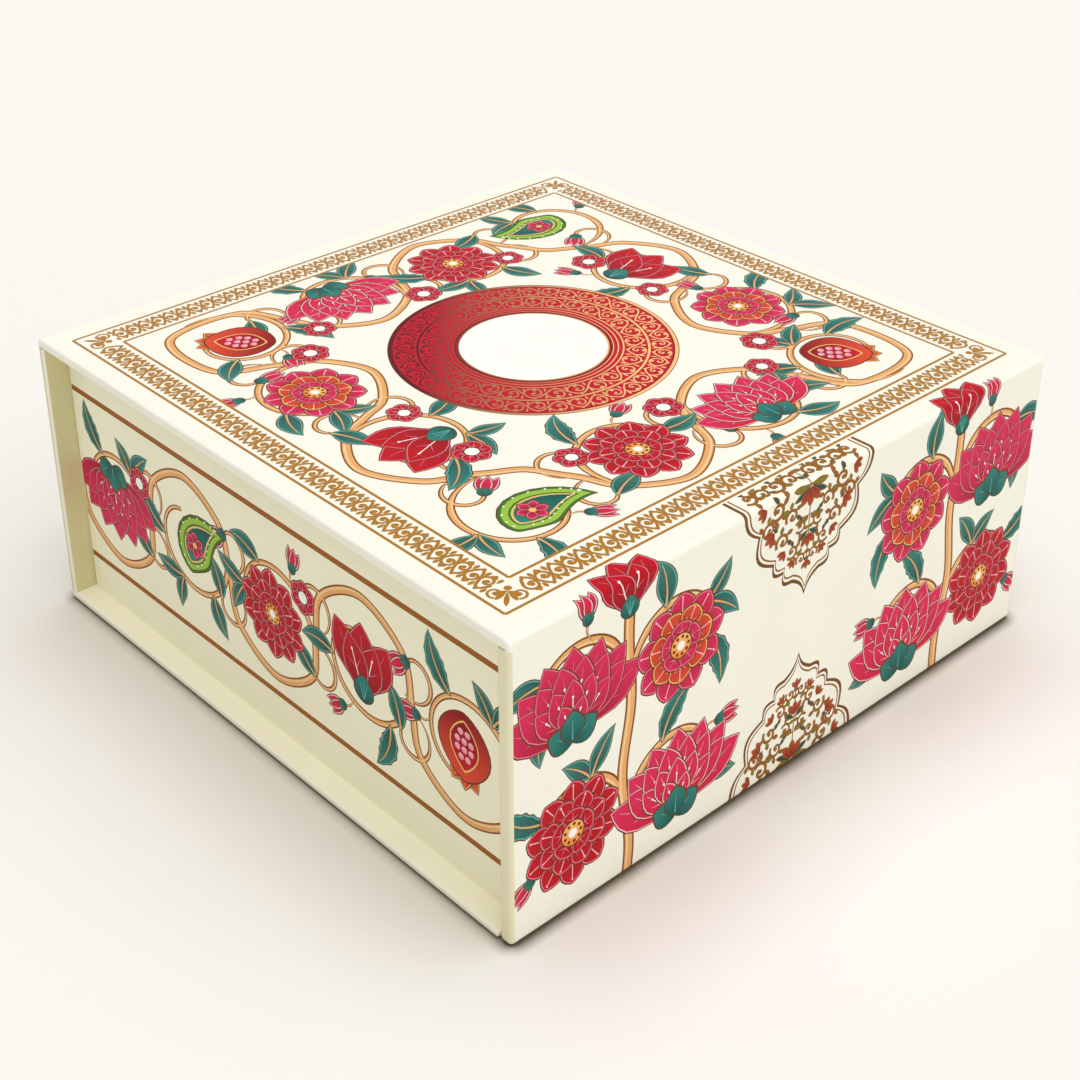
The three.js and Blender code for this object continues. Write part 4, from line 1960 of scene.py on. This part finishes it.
@dataclass
class Nodes:
    """A node tree with short ways to add and join nodes."""

    tree: bpy.types.NodeTree

    def feed(self, node: bpy.types.Node, values: dict) -> None:
        """Feeds a node's inputs, by name or number, with values or with the outputs of others."""
        for name, value in values.items():
            if isinstance(value, bpy.types.NodeSocket):
                self.tree.links.new(value, node.inputs[name])
            else:
                node.inputs[name].default_value = value

    def add(self, kind: str, values: dict | None = None, **settings) -> bpy.types.Node:
        """Adds a node.

        Args:
            kind: the node's type.
            values: what its inputs are fed with, by name or number.
            settings: what its own properties are set to.

        Returns:
            The node.
        """
        node = self.tree.nodes.new(kind)
        for name, value in settings.items():
            setattr(node, name, value)
        self.feed(node, values or {})
        return node

    def math(self, kind: str, first: object, second: object) -> bpy.types.NodeSocket:
        """The result of a sum of two outputs or numbers."""
        return self.add("ShaderNodeMath", {0: first, 1: second}, operation=kind).outputs[0]

    def mix(
        self, share: object, first: object, second: object, kind: str = "MIX"
    ) -> bpy.types.NodeSocket:
        """Two colours mixed by a share; each of the three is an output or a value."""
        values = {0: share, 6: first, 7: second}
        return self.add("ShaderNodeMix", values, data_type="RGBA", blend_type=kind).outputs[2]

    def bump(self, height: bpy.types.NodeSocket, strength: float) -> bpy.types.NodeSocket:
        """The normal of a surface that has a height on it."""
        values = {"Height": height, "Strength": strength, "Distance": BUMP_DEPTH}
        return self.add("ShaderNodeBump", values).outputs["Normal"]


def new_material(name: str) -> tuple[bpy.types.Material, Nodes, bpy.types.Node]:
    """A new material, its nodes and its shader."""
    material = bpy.data.materials.new(name)
    material.use_nodes = True
    return material, Nodes(material.node_tree), material.node_tree.nodes["Principled BSDF"]


def new_group(name: str, inputs: dict[str, float], outputs: Sequence[str]) -> Nodes:
    """A new node group whose sockets are all numbers.

    Args:
        name: name of the group.
        inputs: its inputs and their values.
        outputs: its outputs.

    Returns:
        Its nodes.
    """
    tree = bpy.data.node_groups.new(name, "ShaderNodeTree")
    for key, value in inputs.items():
        socket = tree.interface.new_socket(key, in_out="INPUT", socket_type="NodeSocketFloat")
        socket.default_value = value
    for key in outputs:
        tree.interface.new_socket(key, in_out="OUTPUT", socket_type="NodeSocketFloat")
    return Nodes(tree)


def paper_grain_group() -> bpy.types.NodeTree:
    """Node group: fine tooth and soft unevenness of paper, from Object coordinates.

    Returns:
        A group with a height for bump, a brightness near 1 and a change of roughness about 0.
    """
    n = new_group(
        "paper_grain",
        {"Tooth": 1.0, "Mottle": 0.03, "Gloss Drift": 0.06},
        ("Height", "Brightness", "Roughness"),
    )
    given = n.add("NodeGroupInput").outputs
    place = n.add("ShaderNodeTexCoord").outputs["Object"]

    def noise(scale: float, detail: float, roughness: float) -> bpy.types.NodeSocket:
        """Noise of a scale, a detail and a roughness."""
        values = {"Vector": place, "Scale": scale, "Detail": detail, "Roughness": roughness}
        return n.add("ShaderNodeTexNoise", values).outputs["Fac"]

    fine, wide, flow = noise(2600.0, 3.0, 0.6), noise(38.0, 4.0, 0.55), noise(260.0, 2.0, 0.5)
    both = n.math("ADD", fine, n.math("MULTIPLY", flow, 0.8))
    tone = n.math("ADD", n.math("MULTIPLY", fine, 0.35), wide)
    shift = n.math("MULTIPLY", n.math("SUBTRACT", tone, 0.675), given["Mottle"])
    drift = n.math("SUBTRACT", wide, 0.5)
    made = {
        "Height": n.math("MULTIPLY", both, given["Tooth"]),
        "Brightness": n.math("ADD", shift, 1.0),
        "Roughness": n.math("MULTIPLY", drift, given["Gloss Drift"]),
    }
    n.add("NodeGroupOutput", made)
    return n.tree


def fibre_group() -> bpy.types.NodeTree:
    """Node group: flecks and short fibres of recycled board, from Object coordinates.

    Returns:
        A group with a mask of the flecks and a height for bump.
    """
    n = new_group("board_fibres", {"Scale": 900.0}, ("Flecks", "Height"))
    where = {
        "Vector": n.add("ShaderNodeTexCoord").outputs["Object"],
        "Scale": n.add("NodeGroupInput").outputs["Scale"],
    }
    cells = n.add("ShaderNodeTexVoronoi", {**where, "Randomness": 1.0}, feature="F1")
    fine = {"Detail": 6.0, "Roughness": 0.7, "Distortion": 1.6}
    threads = n.add("ShaderNodeTexNoise", {**where, **fine}).outputs["Fac"]
    near = n.math("LESS_THAN", cells.outputs["Distance"], 0.2)
    rare = n.math("GREATER_THAN", threads, 0.52)
    n.add("NodeGroupOutput", {"Flecks": n.math("MULTIPLY", near, rare), "Height": threads})
    return n.tree


@dataclass(frozen=True)
class PaperFinish:
    """Paper: one tone all over, or where none is given the ink that the mesh carries."""

    name: str
    roughness: float
    tone: tuple[int, int, int] | None = None
    foil_roughness: float = 0.28
    specular: float = 0.1
    tooth: float = 1.0
    mottle: float = 0.05
    bump: float = 0.06

    def make(self, grain: bpy.types.NodeTree) -> bpy.types.Material:
        """The material: ink or tone times the paper's brightness, with its tooth as bump.

        Args:
            grain: the group that holds the paper's grain.

        Returns:
            The material.
        """
        material, n, shader = new_material(self.name)
        values = {"Tooth": self.tooth, "Mottle": self.mottle}
        paper = n.add("ShaderNodeGroup", values, node_tree=grain).outputs
        rough = n.math("ADD", paper["Roughness"], self.roughness)
        if self.tone:
            colour = solid(self.tone)
        else:
            ink = n.add("ShaderNodeAttribute", attribute_name="ink").outputs
            colour, foil = ink["Color"], ink["Alpha"]
            drop = n.math("MULTIPLY", foil, self.roughness - self.foil_roughness)
            rough = n.math("SUBTRACT", rough, drop)
            n.feed(shader, {"Metallic": foil})
        looks = {
            "Base Color": n.mix(1.0, colour, paper["Brightness"], "MULTIPLY"),
            "Roughness": rough,
            "Specular IOR Level": self.specular,
            "Normal": n.bump(paper["Height"], self.bump),
        }
        n.feed(shader, looks)
        return material


@dataclass(frozen=True)
class BoardFinish:
    """Grey or brown board: a tone with darker flecks."""

    name: str
    tone: tuple[int, int, int]
    fleck: tuple[int, int, int]
    scale: float
    roughness: float
    bump: float = 0.2

    def make(self, fibres: bpy.types.NodeTree) -> bpy.types.Material:
        """The material: its tone and flecks mixed by the fibre mask, with fibres as bump.

        Args:
            fibres: the group that holds the board's fibres.

        Returns:
            The material.
        """
        material, n, shader = new_material(self.name)
        board = n.add("ShaderNodeGroup", {"Scale": self.scale}, node_tree=fibres).outputs
        looks = {
            "Base Color": n.mix(board["Flecks"], solid(self.tone), solid(self.fleck)),
            "Roughness": self.roughness,
            "Normal": n.bump(board["Height"], self.bump),
        }
        n.feed(shader, looks)
        return material


@dataclass(frozen=True)
class NickelFinish:
    """Plated magnet: bright metal with fine scratches in its roughness."""

    name: str = "magnet_nickel"
    tone: tuple[int, int, int] = (205, 203, 196)
    stretch: tuple[float, float, float] = (300.0, 2400.0, 2400.0)

    def make(self) -> bpy.types.Material:
        """The material: plain metal whose roughness follows stretched noise.

        Returns:
            The material.
        """
        material, n, shader = new_material(self.name)
        place = n.add("ShaderNodeTexCoord").outputs["Object"]
        long = n.add("ShaderNodeMapping", {"Vector": place, "Scale": self.stretch}).outputs["Vector"]
        scratch = n.add("ShaderNodeTexNoise", {"Vector": long, "Scale": 1.0, "Detail": 3.0})
        rough = n.math("ADD", n.math("MULTIPLY", scratch.outputs["Fac"], 0.25), 0.18)
        n.feed(shader, {"Base Color": solid(self.tone), "Metallic": 1.0, "Roughness": rough})
        return material


# The box


@dataclass
class HamperBox:
    """The case and the tray: prints, wrapped panels and the finishes of the plain pieces."""

    ease: float = 0.8
    flap_ease: float = 1.5
    fold: float = 2.0
    hem: float = 1.6
    base_fold: float = 1.2
    base_edge: float = 1.1
    lid_gap: float = 0.15
    ramp_foot: float = 0.3
    ramp_head: float = 0.7
    ramp_back: float = 0.5
    past: float = 20.0
    clear_foot: float = 0.5
    clear_rim: float = 1.5
    arc_steps: int = 8
    materials: dict[str, bpy.types.Material] = field(default_factory=dict)

    def make_finishes(self) -> None:
        """Makes every material and gives the plain CAD nodes theirs."""
        grain = paper_grain_group()
        fibres = fibre_group()
        papers = (
            PaperFinish("printed_paper", 0.5),
            PaperFinish("liner_paper", 0.62, (246, 241, 220), tooth=1.4, bump=0.12),
        )
        boards = (
            BoardFinish("greyboard", (190, 180, 162), (128, 116, 98), 900.0, 0.85),
            BoardFinish("kraft_tape", (196, 158, 108), (150, 112, 66), 1400.0, 0.7),
        )
        nickel = NickelFinish()
        self.materials = {finish.name: finish.make(grain) for finish in papers}
        self.materials |= {finish.name: finish.make(fibres) for finish in boards}
        self.materials[nickel.name] = nickel.make()
        for row in frame["record"]["subparts"]:
            node = frame["nodes"][row["node"]]
            finish = self.materials[row["material_slot"]]
            if row["material_slot"] == "printed_paper":
                finish = self.materials["liner_paper"]
            for slot in node.material_slots:
                slot.material = finish

    def show(self, shell: Shell, name: str) -> bpy.types.Object:
        """Turns a shell into a printed piece in the scene.

        Args:
            shell: its surface.
            name: its name.

        Returns:
            The piece.
        """
        piece = bpy.data.objects.new(name, shell.mesh(name))
        piece.data.materials.append(self.materials["printed_paper"])
        bpy.context.scene.collection.objects.link(piece)
        LOG.info("%s: %d triangles", name, sum(len(p.vertices) - 2 for p in piece.data.polygons))
        return piece

    def node_box(self, node: str) -> tuple[Points, Points]:
        """A CAD node's corners in millimetres."""
        low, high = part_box(node)
        return np.array(low) / MM, np.array(high) / MM

    def build(self) -> None:
        """Builds each printed piece in the order that the box is folded."""
        self.make_finishes()
        flap = FlapPrint().draw()
        self.build_lid(flap)
        self.build_flap(flap)
        self.build_spine()
        self.build_base()
        self.build_tray()

    def build_lid(self, flap: Artwork) -> None:
        """The lid's wrap: its sheet runs from the front fold over the top to the back fold.

        Args:
            flap: the flap's print, which runs on over the fold.
        """
        low, high = self.node_box("lid_wrap")
        front, back, under, top = low[1], high[1], low[2], high[2]
        printed = rounded_path(
            [(front, under), (front, top), (back, top), (back, under)],
            (0.0, self.fold, self.fold, 0.0),
            self.arc_steps,
        )
        bare = np.array([(back, under), (front, under)])
        start = SheetPath.along(printed).marks[0]
        art = LidPrint().draw(flap, under - start)
        panel = WrappedPanel(Facing.TOP, high[0], self.ease, printed, bare, art, square_low=True)
        piece = self.show(panel.build(), "printed_lid_wrap")
        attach(piece, "lid")
        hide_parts("lid_wrap")

    def build_flap(self, art: Artwork) -> None:
        """The flap's wrap, and the paper hinge strip above it.

        Args:
            art: the flap's print.
        """
        low, high = self.node_box("flap_wrap")
        hem, top = low[2], high[2]
        out, inside = -low[1], -high[1]
        printed = rounded_path(
            [(hem, inside + self.hem), (hem, out), (top, out)], (0.0, self.hem, 0.0), self.arc_steps
        )
        lid_under = self.node_box("lid_wrap")[0][2]
        rise = lid_under - self.lid_gap
        ledge = -self.node_box("lid_liner")[0][1] + self.lid_gap
        bare = rounded_path(
            [
                (top, out), (top, out - self.ramp_foot), (rise, out - self.ramp_head), (rise, ledge),
                (top, ledge - self.ramp_back), (top, inside), (hem, inside), (hem, inside + self.hem),
            ],
            (*[0.0] * 6, self.hem, 0.0),
            self.arc_steps,
        )[:-1]
        # The flap's bare inside and its eased ends and caps are painted a darker cream as painted shade.
        panel = WrappedPanel(
            Facing.FRONT, high[0], self.flap_ease, printed, bare, art,
            square_top=True, lining=Ink.PAINTED_SHADE_CREAM, ends=Ink.PAINTED_SHADE_CREAM,
        )
        piece = self.show(panel.build(), "printed_flap_wrap")
        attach(piece, "flap")
        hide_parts("flap_wrap")
        eases = (self.flap_ease, self.ease)
        hinge = HingeTongue(Facing.FRONT, high[0], eases, top, lid_under, out, art)
        strip = self.show(hinge.build(), "printed_flap_hinge")
        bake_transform(strip)
        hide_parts("flap_hinge_paper")

    def build_spine(self) -> None:
        """The spine's wrap, and the paper hinge strip above it."""
        low, high = self.node_box("spine_wrap")
        foot, top = low[2], high[2]
        inside, out = low[1], high[1]
        art = BandPrint(width=248.0, low=6.0, high=104.0, swing=33.0, reach=26.0).draw(cut=False)
        printed = np.array([(foot, out), (top, out)])
        bare = np.array([(top, out), (top, inside), (foot, inside), (foot, out)])
        # The spine's bare inside and end caps are painted a dark olive ivory as painted shade.
        panel = WrappedPanel(
            Facing.BACK, high[0], self.ease, printed, bare, art, square_top=True, lining=Ink.PAINTED_SHADE_IVORY
        )
        piece = self.show(panel.build(), "printed_spine_wrap")
        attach(piece, "base")
        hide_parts("spine_wrap")
        lid_under = self.node_box("lid_wrap")[0][2]
        eases = (self.ease, self.ease)
        hinge = HingeTongue(Facing.BACK, high[0], eases, top, lid_under, out, art)
        strip = self.show(hinge.build(), "printed_lid_hinge")
        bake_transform(strip)
        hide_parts("lid_hinge_paper")

    def build_base(self) -> None:
        """The base's plain wrap, with rounded front edges and a fold at the back."""
        low, high = self.node_box("base_wrap")
        back, front = -high[1], -low[1]
        out, inside = -low[2], -high[2]
        middle = (out + inside) / 2
        printed = rounded_path(
            [(back, inside), (back, out), (front, out), (front, middle)],
            (0.0, self.base_fold, self.base_edge, 0.0),
            self.arc_steps,
        )
        bare = rounded_path(
            [(front, middle), (front, inside), (back, inside)],
            (0.0, self.base_edge, 0.0),
            self.arc_steps,
        )
        panel = WrappedPanel(
            Facing.UNDER, high[0], self.ease, printed, bare, Artwork(), lining=Ink.SOFT_CREAM
        )
        piece = self.show(panel.build(), "plain_base_wrap")
        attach(piece, "base")
        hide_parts("base_wrap")

    def build_tray(self) -> None:
        """The tray's wrap, with a printed band on its two ends."""
        low, high = self.node_box("tray_wrap")
        tray = TrayWrap(high[0], low[1], high[1], low[2], high[2])
        band = BandPrint(width=high[1] - low[1], low=18.3, high=89.8).draw(cut=True)
        art = Artwork()
        left, right = tray.end_marks()
        for mark in (left, right):
            art.stamp(band, (mark, 0.0))
        half = (high[1] - low[1]) / 2 - tray.corner
        far = tray.plan().marks[-1] + self.past
        for start, stop in ((-self.past, left - half), (left + half, right - half), (right + half, far)):
            art.cover((start, low[2] + self.clear_foot), (stop, high[2] - self.clear_rim), tray.ground)
        piece = self.show(tray.build(art), "printed_tray_wrap")
        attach(piece, "base")
        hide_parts("tray_wrap")


@dataclass(frozen=True)
class Lamp:
    """A wide soft sun: where its light comes from, how wide it looks, its strength and its tone."""

    name: str
    way: tuple[float, float, float]
    width_deg: float
    strength: float
    tone: tuple[float, float, float]

    def build(self) -> None:
        """Adds the lamp to the scene."""
        data = bpy.data.lights.new(self.name, "SUN")
        data.angle = math.radians(self.width_deg)
        data.energy = self.strength
        data.color = self.tone
        lamp = bpy.data.objects.new(self.name, data)
        lamp.rotation_euler = Vector(self.way).to_track_quat("Z", "Y").to_euler()
        bpy.context.scene.collection.objects.link(lamp)


@dataclass(frozen=True)
class Studio:
    """Camera, floor, two wide soft lamps and an even sky."""

    camera_at: tuple[float, float, float] = (-0.4009, -0.4365, 0.4062)
    aim: tuple[float, float, float] = (-0.0398, -0.0451, 0.1298)
    lens: float = 62.0
    shift_up: float = -0.15
    lamps: tuple[Lamp, ...] = (
        Lamp("key", (0.04, -0.25, 1.0), 90.0, 1.9, (1.0, 1.025, 1.08)),
        Lamp("front", (0.4, -1.0, 0.4), 60.0, 0.27, (1.0, 0.95, 0.82)),
    )
    sky: float = 0.42
    sky_tone: tuple[float, float, float] = (1.0, 0.945, 0.82)
    backdrop: tuple[float, float, float] = (0.955, 0.93, 0.90)
    floor_tone: tuple[int, int, int] = (247, 245, 241)
    # Painted shadow on the floor: a wide soft darkening and a narrow dark contact line near the box.
    painted_shadow_tone: tuple[int, int, int] = (224, 218, 210)
    painted_shadow_reach: float = 0.06
    painted_contact_shadow_tone: tuple[int, int, int] = (128, 118, 104)
    painted_contact_shadow_reach: float = 0.005
    floor_reach: float = 4.0
    floor_corners: int = 64
    floor_drop: float = 5e-5

    def build(self) -> None:
        """Sets up the camera, the floor, the lamps and the world."""
        scene = bpy.context.scene
        scene.view_settings.view_transform = "Standard"
        data = bpy.data.cameras.new("photo_camera")
        data.lens = self.lens
        data.sensor_width = 36.0
        data.shift_y = self.shift_up
        camera = bpy.data.objects.new("photo_camera", data)
        camera.location = self.camera_at
        way = Vector(self.aim) - Vector(self.camera_at)
        camera.rotation_euler = way.to_track_quat("-Z", "Y").to_euler()
        scene.collection.objects.link(camera)
        scene.camera = camera
        for lamp in self.lamps:
            lamp.build()
        self.world()
        self.floor()

    def world(self) -> None:
        """Soft even light, and a pale backdrop where the camera or a shiny surface sees it."""
        world = bpy.data.worlds.new("studio_world")
        bpy.context.scene.world = world
        world.use_nodes = True
        world.node_tree.nodes.clear()
        n = Nodes(world.node_tree)
        soft = n.add("ShaderNodeBackground", {"Color": (*self.sky_tone, 1.0), "Strength": self.sky})
        seen = n.add("ShaderNodeBackground", {"Color": (*self.backdrop, 1.0), "Strength": 1.0})
        path = n.add("ShaderNodeLightPath").outputs
        shown = n.math("MAXIMUM", path["Is Camera Ray"], path["Is Glossy Ray"])
        shown = n.math("MAXIMUM", shown, path["Is Transmission Ray"])
        values = {0: shown, 1: soft.outputs[0], 2: seen.outputs[0]}
        mix = n.add("ShaderNodeMixShader", values)
        n.add("ShaderNodeOutputWorld", {"Surface": mix.outputs[0]})

    def floor(self) -> None:
        """A wide plain floor at the level that the box stands on, with a painted shadow that darkens it
        close to the box.
        """
        mesh = bpy.data.meshes.new("studio_floor")
        corners = self.floor_corners
        level = np.full((corners, 1), -self.floor_drop)
        ring = np.concatenate([disc(self.floor_reach, corners), level], 1)
        mesh.from_pydata(ring.tolist(), [], [list(range(corners))])
        material, n, shader = new_material("studio_floor")
        # Painted shadow: two ambient occlusion masks darken the floor's colour near the box, a wide soft
        # one and a narrow dark one.
        tones = []
        for reach, dark, light in (
            (self.painted_shadow_reach, self.painted_shadow_tone, self.floor_tone),
            (self.painted_contact_shadow_reach, self.painted_contact_shadow_tone, (255, 255, 255)),
        ):
            near = n.add("ShaderNodeAmbientOcclusion", {"Distance": reach}, samples=8)
            open_sky = n.math("MULTIPLY", n.math("SUBTRACT", near.outputs["AO"], 0.5), 2.0)
            tones.append(n.mix(open_sky, solid(dark), solid(light)))
        colour = n.mix(1.0, *tones, "MULTIPLY")
        n.feed(shader, {"Base Color": colour, "Roughness": 0.9, "Specular IOR Level": 0.1})
        mesh.materials.append(material)
        floor = bpy.data.objects.new("studio_floor", mesh)
        bpy.context.scene.collection.objects.link(floor)


def main() -> None:
    """Builds the studio and the box."""
    logging.basicConfig(level=logging.INFO, format="%(name)s: %(message)s")
    Studio().build()
    HamperBox().build()


if __name__ == "__main__":
    main()
